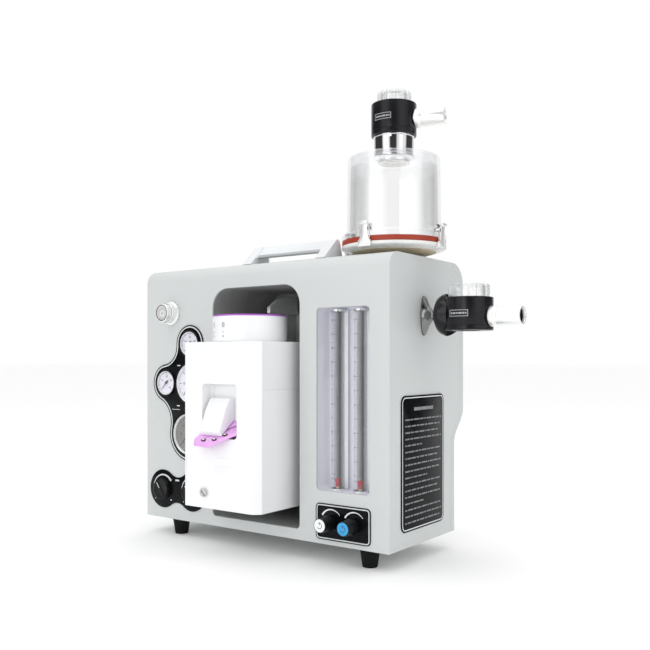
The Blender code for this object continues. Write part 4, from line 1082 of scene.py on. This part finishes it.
def make_dial():
    node = "vaporizer_dial"
    low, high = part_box(node)
    middle, radius = centre_of(node), half_width(node)
    skirt = CORNER.z + 257.3 * MM - low.z
    top = high.z - low.z
    profile = rounded([(0, 0), (10.5 * MM, 0), (10.5 * MM, skirt), (radius - 0.6 * MM, skirt, 0.8 * MM),
                       (radius - 0.2 * MM, skirt + 4 * MM, 0.6 * MM),
                       (radius - 1.0 * MM, top - 4.2 * MM, 0.4 * MM),
                       (radius - 1.2 * MM, top - 1.9 * MM, 0.2 * MM), (radius - 2.4 * MM, top - 1.9 * MM),
                       (radius - 2.4 * MM, top - 0.3 * MM, 0.3 * MM), (20 * MM, top - 0.3 * MM, 0.4 * MM),
                       (18 * MM, top - 3 * MM, 1 * MM), (0, top - 3 * MM)], closed=False)
    place = on_top(middle.x, middle.y, low.z)
    add("vaporizer_dial_moulded", spin(profile, 128), "white", place, "dial", [node])
    band = rounded([(radius - 2.6 * MM, top - 2.0 * MM), (radius - 0.9 * MM, top - 2.0 * MM, 0.2 * MM),
                    (radius - 1.2 * MM, top, 0.6 * MM), (radius - 6 * MM, top, 0.3 * MM),
                    (radius - 6 * MM, top - 0.6 * MM)])
    add("vaporizer_dial_band", spin(band, 128, ring=True), "purple", place, "dial")
    marks = []
    figures = ("0", "1", "2", "3", "4", "5")
    first, step = radians(-92), radians(-26)
    for i, figure in enumerate(figures):
        a = first + step * i
        wall = radius - 0.5 * MM
        turn = Matrix.Rotation(a + 0.5 * pi, 4, "Z") @ Matrix.Translation((0, -wall, 0)) @ \
            Matrix.Rotation(0.5 * pi, 4, "X")
        marks.append((numeral(figure, 0, skirt + 21.5 * MM, 9.5 * MM, 0.5 * MM), turn.copy()))
        marks.append((slab(circle(0, skirt + 7 * MM, 1.3 * MM, 24), 0, 0.5 * MM), turn.copy()))
        marks.append((bar(0, skirt + 11 * MM, 0, skirt + 13.5 * MM, 0.9 * MM, 0, 0.5 * MM), turn.copy()))
    add("vaporizer_dial_figures", join(marks), "print_grey", place, "dial")


def make_filler():
    low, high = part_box("filler_block")
    nose = rounded([(-47.3, 155.3), (-47.3, 185, 2), (-56, 183, 4), (-64, 170, 6), (-71, 153, 6),
                    (-75.5, 141.5, 3), (-71.5, 135.7, 0.6)], 5)
    outline = [(FRONT_Y + y * MM, CORNER.z + z * MM) for y, z in nose]
    block = carved(across(outline, low.x, high.x), [], bevel=3.4 * MM, steps=5, angle=40)
    add("filler_block_moulded", block, "white", Matrix.Identity(4), "machine", ["filler_block"])

    front_y, front_z, thick = -83 * MM, 126.2 * MM, 4.5 * MM
    plan = rounded([(-245.5, -47.5, 1), (-245.5, -66.8, 4), (-250, -77.5, 3), (-244.5, -83, 2.5),
                    (-218, -84, 3), (-213, -80.5, 6), (-193, -67.2, 3), (-186.5, -64, 2.5),
                    (-186.5, -47.5, 1)], 5)
    outline = [(CORNER.x + x * MM, FRONT_Y + y * MM) for x, y in plan]
    rim = 0.9 * MM

    def height(y):
        return CORNER.z + front_z + TRAY_SLOPE * (y - FRONT_Y - front_y)

    rows = []
    for inset, drop in ((0.8 * MM, thick), (0.0, thick - 0.8 * MM), (0.0, 0.5 * MM), (0.5 * MM, 0.0),
                        (1.6 * MM, 0.0), (1.6 * MM + rim, 0.7 * MM)):
        rows.append([(x, y, height(y) - drop) for x, y in offset(outline, -inset)])
    add("filler_tray_moulded", loft(rows), "lilac", Matrix.Identity(4), "machine", ["filler_tray"])
    make_tray_studs(height)


def make_tray_studs(height):
    """Three keyed studs along the tray's edge: a dark body with a bright pin in its middle."""
    tilt = Matrix.Rotation(atan2(TRAY_SLOPE, 1.0), 4, "X")
    bodies, pins = [], []
    for x, y in ((-232.1, -77.4), (-214.9, -75.6), (-203.0, -68.2)):
        px, py = CORNER.x + x * MM, FRONT_Y + y * MM
        place = Matrix.Translation((px, py, height(py) - 0.9 * MM)) @ tilt
        bodies.append((slab(rounded_box(-3.6 * MM, 3.6 * MM, -2.1 * MM, 2.1 * MM, 1.9 * MM), 0, 1.9 * MM,
                            0.4 * MM), place))
        pins.append((slab(rounded_box(-2.2 * MM, 2.2 * MM, -1.0 * MM, 1.0 * MM, 0.9 * MM), 1.8 * MM,
                          2.3 * MM, 0.2 * MM), place))
    add("filler_studs", join(bodies), "stud", Matrix.Identity(4), "machine")
    add("filler_stud_pins", join(pins), "plated_and_painted_lit_end", Matrix.Identity(4), "machine")


def make_drain(body_low):
    middle = centre_of("drain_screw")
    profile = scaled([(0, -12), (3.8, -12, 0.4), (3.8, 0.3), (5.6, 0.3, 0.2), (5.6, 3.4, 0.5),
                      (5.0, 3.8, 0.3),
                      (3.6, 3.8, 0.2), (3.3, 3.3, 0.2), (0, 3.3)])
    head = spin(rounded(profile, closed=False), 64)
    slit = slab(rounded_box(-6 * MM, 6 * MM, -0.75 * MM, 0.75 * MM, 0.1 * MM), 1.9 * MM, 6 * MM)
    cut = carved(head, [join([(slit, Matrix.Rotation(radians(-38), 4, "Z"))])], bevel=0.15 * MM, steps=2)
    add("drain_screw_turned", cut, "steel", on_front(middle.x, middle.z, body_low.y), "drain_screw",
        ["drain_screw"])


def make_lever():
    low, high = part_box("lock_lever")
    arm = rounded(scaled([(58, 299.5, 1), (70, 298.5, 6), (121, 301, 3), (124, 304, 3), (121, 325, 4),
                          (86, 323, 12), (74, 319, 10), (64, 312.5, 6), (58, 309, 1.2)]), 5)
    outline = [(FRONT_Y + y, CORNER.z + z) for y, z in arm]
    body = carved(across(outline, low.x, high.x), [], bevel=0.7 * MM, angle=40)
    add("lock_lever_cast", body, "mount", Matrix.Identity(4), "lock_lever", ["lock_lever"])
    # A thin bright sheet on the lever's front end: painted light for the lit end face, lighter than the grey
    # sides.
    tip = rounded(scaled([(57.9, 300.5, 0.6), (58.4, 300.5), (58.4, 308.8), (57.9, 308.8, 0.6)]), 3)
    tip = [(FRONT_Y + y, CORNER.z + z) for y, z in tip]
    add("lock_lever_painted_lit_end", across(tip, low.x + 0.7 * MM, high.x - 0.7 * MM), "plated_and_painted_lit_end", Matrix.Identity(4),
        "lock_lever")


# ---------------------------------------------------------------- absorber
LATCHES = {"latch_front": -90, "latch_right": 0, "latch_back": 90, "latch_left": 180}


def make_absorber():
    place = on_top(CAN.x, CAN.y, CORNER.z)
    base = scaled([(16, 346), (16, 366.3), (30, 366.3, 0.5), (30, 371.2, 0.8), (42, 372.2, 2), (62, 377.2, 3),
                   (68.5, 379, 0.5), (69.5, 380, 0.5), (69.5, 383.5, 0.5), (59, 383.5, 0.4), (58, 380, 1.5),
                   (42, 375.2, 3), (12, 374.2, 1), (12, 346)])
    add("absorber_base_moulded", spin(rounded(base), 128, ring=True), "milk", place, "machine",
        ["absorber_base"])
    pad = scaled([(31.5, 370.9), (42.2, 371.8), (56.0, 375.3), (56.0, 376.0), (42, 372.6), (31.5, 371.6)])
    add("absorber_base_pad", spin(pad, 96, ring=True), "beige", place, "machine")
    seal = scaled([(68.9, 383.8, 0.8), (68.9, 390.5, 0.8), (60, 390.5, 0.8), (60, 383.8, 0.8)])
    add("base_gasket_rubber", spin(rounded(seal), 128, ring=True), "gasket", place, "machine",
        ["base_gasket"])
    dome = scaled([(69.5, 390.8, 0.6), (69.5, 397.5, 1.0), (64.2, 397.5, 1.6), (62.4, 400, 2),
                   (61.2, 501, 3.5), (21.5, 501, 0.6), (21.5, 495, 0.6), (50.0, 495, 1.5), (57.7, 487, 5),
                   (59, 390.8, 0.4)])
    add("absorber_dome_clear", spin(rounded(dome, 6), 128, ring=True), "dome", place, "machine",
        ["absorber_dome"])
    guard = scaled([(0, 494.9), (20.8, 494.9, 0.2), (20.8, 495.3, 0.2), (0, 495.3)])
    add("dome_gas_baffle", spin(rounded(guard, closed=False), 72), "milk", place, "machine")
    for name, angle in LATCHES.items():
        make_latch(name, radians(angle))


def make_latch(name, angle):
    """A draw latch: a bright lever hinged on the base, its wire bail and the dome's striker."""
    place = on_top(CAN.x, CAN.y, CORNER.z, angle) @ face_matrix(Y, Z, X, Vector())
    reach = 69.5 * MM
    lever_front = rounded(scaled([(-9, 376.8, 2), (9, 376.8, 2), (8.2, 384, 2), (5.2, 391, 3),
                                  (4.6, 399.4, 2),
                                  (5.6, 406.6, 1.5), (-5.6, 406.6, 1.5), (-4.6, 399.4, 2), (-5.2, 391, 3),
                                  (-8.2, 384, 2)]), 4)
    plate = slab(lever_front, reach + 2.6 * MM, reach + 3.8 * MM, 0.35 * MM)
    tip = slab(rounded_box(-5.8 * MM, 5.8 * MM, 404.4 * MM, 408.3 * MM, 1.2 * MM), reach + 3.4 * MM,
               reach + 6.3 * MM, 0.8 * MM, 3)
    cheeks = [slab(rounded(scaled([(s * 8.9, 376.6, 0.2), (s * 8.9, 385, 0.3), (s * 7.9, 385, 0.3),
                                   (s * 7.9, 376.6, 0.2)]), 2), reach + 0.5 * MM, reach + 3.6 * MM)
              for s in (-1, 1)]
    rivets = [slab(circle(s * 5.6 * MM, 380.5 * MM, 1.3 * MM, 24), reach + 3.6 * MM, reach + 4.5 * MM,
                   0.3 * MM)
              for s in (-1, 1)]
    add(name + "_lever", join([plate, tip] + cheeks + rivets), "plated_and_painted_lit_end", place, name, [name])
    wire = []
    for u, v, w in ((-6.8, 386.5, 1.4), (-6.8, 397.6, 1.6), (-6.2, 400.6, 1.7), (-4.6, 402.4, 1.7),
                    (0, 402.8, 1.7), (4.6, 402.4, 1.7), (6.2, 400.6, 1.7), (6.8, 397.6, 1.6),
                    (6.8, 386.5, 1.4)):
        wire.append(Vector((u * MM, v * MM, reach + w * MM)))
    add(name + "_bail", tube_along(wire, 0.85 * MM, 12), "chrome", place, name)
    hook = slab(rounded_box(-5.5 * MM, 5.5 * MM, 398.0 * MM, 401.4 * MM, 0.8 * MM), reach - 6.5 * MM,
                reach + 0.6 * MM, 0.3 * MM)
    lip = slab(rounded_box(-6.5 * MM, 6.5 * MM, 401.0 * MM, 407.6 * MM, 1.4 * MM), reach - 4.6 * MM,
               reach - 2.6 * MM, 0.5 * MM)
    add(name + "_striker", join([hook, lip]), "chrome", place, "machine")


# ---------------------------------------------------------------- valves
def make_valve_body(node, port_node, name):
    low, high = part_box(node)
    middle, radius = centre_of(node), VALVE_R
    if node == "side_valve_body":
        middle = Vector((VALVE.x, VALVE.y, middle.z))
    height = high.z - low.z
    profile = [(15 * MM, 0), (radius - 0.6 * MM, 0, 0.6 * MM), (radius, 0.8 * MM, 0.3 * MM),
               (radius, 5.4 * MM, 0.2 * MM), (radius - 0.6 * MM, 5.6 * MM), (radius - 0.6 * MM, 6.2 * MM),
               (radius, 6.4 * MM, 0.2 * MM), (radius, height - 0.3 * MM, 0.8 * MM),
               (radius - 1.2 * MM, height, 0.4 * MM), (24 * MM, height, 0.3 * MM), (24 * MM, 5 * MM),
               (19 * MM, 5 * MM), (19 * MM, 10 * MM, 0.3 * MM), (15 * MM, 10 * MM, 0.3 * MM)]
    ring = spin(rounded(profile, 3), 128, ring=True)
    bmesh.ops.translate(ring, verts=ring.verts, vec=(middle.x, middle.y, low.z))
    axis = port_axis(port_node, middle)
    bore = spin([(0, 18 * MM), (9.8 * MM, 18 * MM), (9.8 * MM, 40 * MM), (0, 40 * MM)], 48)
    bmesh.ops.transform(bore, matrix=axis, verts=bore.verts)
    add(name, carved(ring, [bore]), "anodised", Matrix.Identity(4), body_of(node), [node])
    make_ring_label(name + "_label", middle, low.z + 0.50 * height, radius, body_of(node))


def port_axis(port_node, middle):
    """The port's axis: from the valve's middle out through the port's own middle."""
    centre = centre_of(port_node)
    turn = atan2(centre.y - middle.y, centre.x - middle.x)
    place = Matrix.Translation((middle.x, middle.y, centre.z)) @ Matrix.Rotation(turn, 4, "Z")
    return place @ face_matrix(Y, Z, X, Vector())


def wrapped(outline_uv, middle, z, radius, facing, proud):
    """Bend (u, v) points round a vertical cylinder; u runs along its wall."""
    rows = []
    for r in (radius - 0.05 * MM, radius + proud):
        rows.append([(middle.x + r * cos(facing + u / radius), middle.y + r * sin(facing + u / radius), z + v)
                     for u, v in outline_uv])
    return rows


def make_ring_label(name, middle, z, radius, body):
    """A white outlined box with plain dashes in it, printed on the ring's front."""
    wide, tall, line = 12.5 * MM, 4.0 * MM, 0.7 * MM
    facing = radians(-90)

    def side(points):
        return loft(wrapped(points, middle, z, radius, facing, 0.06 * MM))

    def strip(u0, u1, v0, v1):
        count = 12
        top = [(u0 + (u1 - u0) * i / count, v1) for i in range(count + 1)]
        low = [(u0 + (u1 - u0) * i / count, v0) for i in range(count + 1)]
        return side(low + top[::-1])

    parts = [strip(-wide, wide, tall - line, tall), strip(-wide, wide, -tall, line - tall),
             strip(-wide, line - wide, -tall, tall), strip(wide - line, wide, -tall, tall)]
    u = -wide + 2.2 * MM
    for length in (2.6, 3.4, 2.2, 4.2, 2.4, 1.6):
        parts.append(strip(u, u + length * MM, -1.0 * MM, 1.0 * MM))
        u += (length + 0.9) * MM
    add(name, join(parts), "print_grey", Matrix.Identity(4), body)


def make_cap(node):
    """A clear screw cap: finger grooves round its wall, a stepped top and a hollow inside."""
    low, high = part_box(node)
    middle, radius = centre_of(node), half_width(node)
    if node == "side_valve_cap":
        middle = Vector((VALVE.x, VALVE.y, middle.z))
    height = high.z - low.z
    lobes, steps = 14, 168
    rows = []
    for r, z, depth in ((radius - 4.2 * MM, 0, 0), (radius - 4.2 * MM, height - 3.0 * MM, 0)):
        rows.append(cap_row(r, z, depth, lobes, steps))
    rows.reverse()
    for inset, z, depth in ((0.5, 0, 0.5), (0.0, 0.5 * MM, 1.0), (0.0, height - 2.2 * MM, 1.0),
                            (0.6, height - 0.9 * MM, 0.8), (1.6, height - 0.5 * MM, 0.3),
                            (3.6, height - 0.4 * MM, 0.0), (4.2, height - 1.2 * MM, 0.0),
                            (8.0, height - 1.2 * MM, 0.0), (8.6, height, 0.0)):
        rows.append(cap_row(radius - inset * MM, z, depth * 1.5 * MM, lobes, steps))
    add(node + "_clear", loft(rows), "clear", on_top(middle.x, middle.y, low.z), body_of(node), [node])


def cap_row(radius, z, depth, lobes, steps):
    row = []
    for i in range(steps):
        a = 2 * pi * i / steps
        r = radius - depth * (0.5 - 0.5 * cos(lobes * a)) ** 2
        row.append((r * cos(a), r * sin(a), z))
    return row


def make_port(node, middle):
    """A 22 mm connector: a shouldered nut, a tapered pipe with two grooves, and its bore, darkened inside
    with painted shade.
    """
    place = port_axis(node, middle)
    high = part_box(node)[1]
    reach = (high.x - middle.x) / max(0.2, abs(place.col[2].x))
    if node == "upper_valve_port":
        reach = 69 * MM
    r = VALVE_R
    pipe = 11.2 * MM
    profile = rounded([(9.3 * MM, r - 5 * MM), (9.3 * MM, r + 0.2 * MM), (12.8 * MM, r + 0.2 * MM, 0.3 * MM),
                       (12.8 * MM, r + 5.6 * MM, 0.8 * MM), (12.0 * MM, r + 6.6 * MM, 0.4 * MM),
                       (11.9 * MM, r + 8.6 * MM, 0.4 * MM), (11.3 * MM, r + 9.0 * MM, 0.2 * MM),
                       (11.3 * MM, r + 9.8 * MM, 0.2 * MM), (11.7 * MM, r + 10.2 * MM, 0.4 * MM),
                       (pipe, reach, 0.5 * MM), (9.2 * MM, reach, 0.4 * MM), (8.6 * MM, reach - 2 * MM),
                       (7.8 * MM, r - 5 * MM)], 3)
    add(node + "_plated", spin(profile, 96, ring=True), "plated_and_painted_lit_end", place, body_of(node), [node])
    # A thin black sleeve just inside the bore: painted shade for the dark inside of the pipe.
    tube = [(7.9 * MM, r - 3 * MM), (8.5 * MM, reach - 3.5 * MM), (8.45 * MM, reach - 3.5 * MM),
            (7.75 * MM, r - 3 * MM)]
    add(node + "_painted_bore_shade", spin(tube, 64, ring=True), "seal_black_and_bore_shade", place, body_of(node))


def make_valves():
    make_valve_body("upper_valve_body", "upper_valve_port", "upper_valve_body_anodised")
    make_valve_body("side_valve_body", "side_valve_port", "side_valve_body_anodised")
    make_cap("upper_valve_cap")
    make_cap("side_valve_cap")
    make_port("upper_valve_port", CAN)
    make_port("side_valve_port", VALVE)
    low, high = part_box("upper_valve_collar")
    foot, top = 5.8 * MM, high.z - low.z
    collar = rounded([(21 * MM, 0), (21 * MM, foot), (27.5 * MM, foot, 0.5 * MM),
                      (27.5 * MM, foot + 3 * MM, 0.5 * MM),
                      (26.4 * MM, foot + 3.6 * MM, 0.4 * MM), (26.4 * MM, top - 2.2 * MM, 0.4 * MM),
                      (27.3 * MM, top - 1.6 * MM, 0.4 * MM), (27.3 * MM, top, 0.4 * MM), (18 * MM, top),
                      (18 * MM, 0)], 3)
    add("upper_valve_collar_chromed", spin(collar, 128, ring=True), "chrome",
        on_top(CAN.x, CAN.y, low.z), "machine", ["upper_valve_collar"])
    make_side_mount()


def make_side_mount():
    """The side valve's wall flange, neck and cup, turned in one piece and cut to the ring."""
    stem_z = centre_of("side_valve_mount").z
    flange = scaled([(6, -20), (6, 0.3), (25.5, 0.3, 0.2), (25.5, 2.2, 0.7), (23.5, 4.0, 1), (13, 8.5, 4),
                     (6.2, 14, 3), (5.5, 17.5), (4, 17.5), (4, -20)])
    body = spin(rounded(flange, 6), 128, ring=True)
    for vertex in body.verts:
        width = hypot(vertex.co.x, vertex.co.y)
        half = max(7.6 * MM - 0.4 * max(0.0, vertex.co.z - 2 * MM), 6.2 * MM)
        if vertex.co.z < 12 * MM and width > half:
            vertex.co.x *= half / width
    place = on_right(VALVE.y, stem_z)
    add("side_valve_mount_chromed", body, "chrome_dark", place, "machine", ["side_valve_mount"])
    cup = scaled([(5.5, 17.5), (9, 20.5, 3), (18, 23.5, 4), (24.5, 28, 4), (26.5, 33, 4), (26.5, 46),
                  (4, 46), (4, 17.5)])
    cup = spin(rounded(cup, 6), 128, ring=True)
    bmesh.ops.transform(cup, matrix=place, verts=cup.verts)
    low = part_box("side_valve_body")[0]
    tool = spin([(0, 0), (VALVE_R + GAP, 0), (VALVE_R + GAP, 140 * MM), (0, 140 * MM)], 128)
    bmesh.ops.translate(tool, verts=tool.verts, vec=(VALVE.x, VALVE.y, low.z - 50 * MM))
    add("side_valve_cup_blackened", carved(cup, [tool]), "black_nickel", Matrix.Identity(4), "machine")


def make_inlet():
    middle = centre_of("oxygen_inlet")
    back = FRONT_Y + LOW_D
    profile = scaled([(0, -16), (11, -16), (11, -3.3), (8, -3.3), (8, 5), (8, 5.5, 0.3)])
    threads, pitch = 8, 1.5
    for i in range(threads):
        start = 6.2 + i * pitch
        profile += scaled([(8.0, start, 0.15), (7.3, start + pitch / 2, 0.15)])
    profile += scaled([(8, 19.2), (7.2, 21, 0.4), (4.2, 21, 0.3), (4, 20), (4, 4), (0, 4)])
    nut = slab(circle(0, 0, 12 * MM, 6), 0.3 * MM, 5 * MM, 0.6 * MM, 3)
    add("oxygen_inlet_turned", join([spin(rounded(profile, 2, closed=False), 64), nut]), "brass",
        on_back(middle.x, middle.z, back), "machine", ["oxygen_inlet"])


# ---------------------------------------------------------------- nodes that stay as they are
KEPT = {
    "needle_top": "needle", "needle_left": "needle", "needle_middle": "needle", "needle_lower": "needle",
    "selector_block": "aluminium", "flow_manifold": "aluminium", "vaporizer_mount": "mount",
    "upper_valve_disc": "disc", "side_valve_disc": "disc",
}


def finish_kept_nodes():
    for node, paint in KEPT.items():
        mesh = frame["nodes"][node].data
        mesh.materials.clear()
        mesh.materials.append(PAINT[paint])


# ---------------------------------------------------------------- studio
def make_stage():
    """A wide pale floor under a plain white surround."""
    bpy.ops.mesh.primitive_plane_add(size=60.0, location=(0, 0, 0))
    floor = bpy.context.object
    floor.name = "studio_floor"
    floor.data.materials.append(finish_of("studio_paper", (0.985, 0.985, 0.985), 0.9, tone=0.003, grain=0.0))


def make_world():
    """Plain white all round. Gloss sees the same room with softboxes and darker gaps between."""
    world = bpy.data.worlds.new("studio")
    bpy.context.scene.world = world
    world.use_nodes = True
    tree = world.node_tree
    tree.nodes.clear()
    place = tree.nodes.new("ShaderNodeTexCoord")
    split = tree.nodes.new("ShaderNodeSeparateXYZ")
    tree.links.new(place.outputs["Generated"], split.inputs[0])
    angle = tree.nodes.new("ShaderNodeMath")
    angle.operation = "ARCTAN2"
    tree.links.new(split.outputs["Y"], angle.inputs[0])
    tree.links.new(split.outputs["X"], angle.inputs[1])
    turn = tree.nodes.new("ShaderNodeMapRange")
    turn.inputs["From Min"].default_value = -pi
    turn.inputs["From Max"].default_value = pi
    tree.links.new(angle.outputs[0], turn.inputs["Value"])
    room = tree.nodes.new("ShaderNodeValToRGB")
    stops = room.color_ramp.elements
    for position, grey in ROOM:
        stop = stops[0] if position == 0.0 else stops[-1] if position == 1.0 else stops.new(position)
        stop.color = (grey, grey, grey, 1.0)
    tree.links.new(turn.outputs["Result"], room.inputs["Fac"])
    above = tree.nodes.new("ShaderNodeMapRange")
    above.inputs["From Min"].default_value = 0.35
    above.inputs["From Max"].default_value = 0.75
    tree.links.new(split.outputs["Z"], above.inputs["Value"])
    ceiling = tree.nodes.new("ShaderNodeMix")
    ceiling.data_type = "RGBA"
    tree.links.new(above.outputs["Result"], ceiling.inputs["Factor"])
    tree.links.new(room.outputs["Color"], ceiling.inputs["A"])
    ceiling.inputs["B"].default_value = (1.0, 1.0, 1.0, 1.0)
    path = tree.nodes.new("ShaderNodeLightPath")
    seen = tree.nodes.new("ShaderNodeMapRange")
    seen.inputs["To Min"].default_value = WORLD_STRENGTH
    seen.inputs["To Max"].default_value = 1.0
    tree.links.new(path.outputs["Is Camera Ray"], seen.inputs["Value"])
    plain = tree.nodes.new("ShaderNodeBackground")
    plain.inputs["Color"].default_value = (1.0, 1.0, 1.0, 1.0)
    tree.links.new(seen.outputs["Result"], plain.inputs["Strength"])
    glossy = tree.nodes.new("ShaderNodeBackground")
    tree.links.new(ceiling.outputs["Result"], glossy.inputs["Color"])
    mix = tree.nodes.new("ShaderNodeMixShader")
    tree.links.new(path.outputs["Is Glossy Ray"], mix.inputs["Fac"])
    tree.links.new(plain.outputs[0], mix.inputs[1])
    tree.links.new(glossy.outputs[0], mix.inputs[2])
    output = tree.nodes.new("ShaderNodeOutputWorld")
    tree.links.new(mix.outputs[0], output.inputs["Surface"])


WORLD_STRENGTH = 0.9
# Brightness of the room round the horizon, from behind on the left round through the right.
ROOM = ((0.0, 0.05), (0.135, 0.05), (0.16, 1.0), (0.26, 1.0), (0.28, 0.05), (0.37, 0.05), (0.395, 1.0),
        (0.53, 1.0), (0.555, 0.05), (0.69, 0.07), (0.73, 0.85), (0.94, 0.85), (0.975, 0.06), (1.0, 0.05))


def area_light(name, place, target, size, watts):
    lamp = bpy.data.lights.new(name, "AREA")
    lamp.shape = "RECTANGLE"
    lamp.size, lamp.size_y = size
    lamp.energy = watts
    holder = bpy.data.objects.new(name, lamp)
    bpy.context.scene.collection.objects.link(holder)
    holder.location = place
    holder.rotation_euler = (Vector(target) - Vector(place)).to_track_quat("-Z", "Y").to_euler()
    return holder


def make_lights():
    middle = (0.0, 0.0, 0.28)
    area_light("softbox_left", (-0.5, -2.1, 1.4), middle, (1.3, 1.6), 3.0)
    area_light("softbox_right", (2.2, -0.6, 1.1), middle, (0.9, 1.6), 1.5)
    area_light("softbox_bay", (0.35, -1.7, 0.55), (-0.06, 0.0, 0.22), (0.5, 0.5), 2.0)
    area_light("softbox_top", (0.0, 0.3, 2.4), middle, (2.2, 1.8), 9.0)
    sky = bpy.data.lights.new("skylight", "SUN")
    sky.energy, sky.angle = 0.35, radians(60)
    holder = bpy.data.objects.new("skylight", sky)
    bpy.context.scene.collection.objects.link(holder)
    holder.rotation_euler = Vector((0.12, 0.30, -0.94)).to_track_quat("-Z", "Y").to_euler()


EYE = (0.5016, -0.8251, 0.2355)    # the eye, measured from the case's lower front right corner
EYE_TURN = 35.88                   # degrees the view is turned to the left of straight back
LENS, SENSOR, SHIFT_UP = 44.51, 36.0, 0.0513


def make_camera():
    data = bpy.data.cameras.new("studio_camera")
    data.lens, data.sensor_width = LENS, SENSOR
    data.shift_y = SHIFT_UP
    data.clip_start = 0.05
    camera = bpy.data.objects.new("studio_camera", data)
    bpy.context.scene.collection.objects.link(camera)
    camera.location = CORNER + Vector(EYE)
    camera.rotation_euler = (radians(90), 0.0, radians(EYE_TURN))
    bpy.context.scene.camera = camera


def main():
    bpy.context.scene.view_settings.view_transform = "Standard"
    make_case()
    make_bay()
    make_feet()
    make_handle()
    make_gauge_plate()
    for name in GAUGES:
        make_gauge(name)
    make_selectors()
    make_flush()
    make_flow_window()
    make_control_plate()
    make_side_label()
    make_vaporizer()
    make_lever()
    make_absorber()
    make_valves()
    make_inlet()
    finish_kept_nodes()
    make_stage()
    make_world()
    make_lights()
    make_camera()


main()
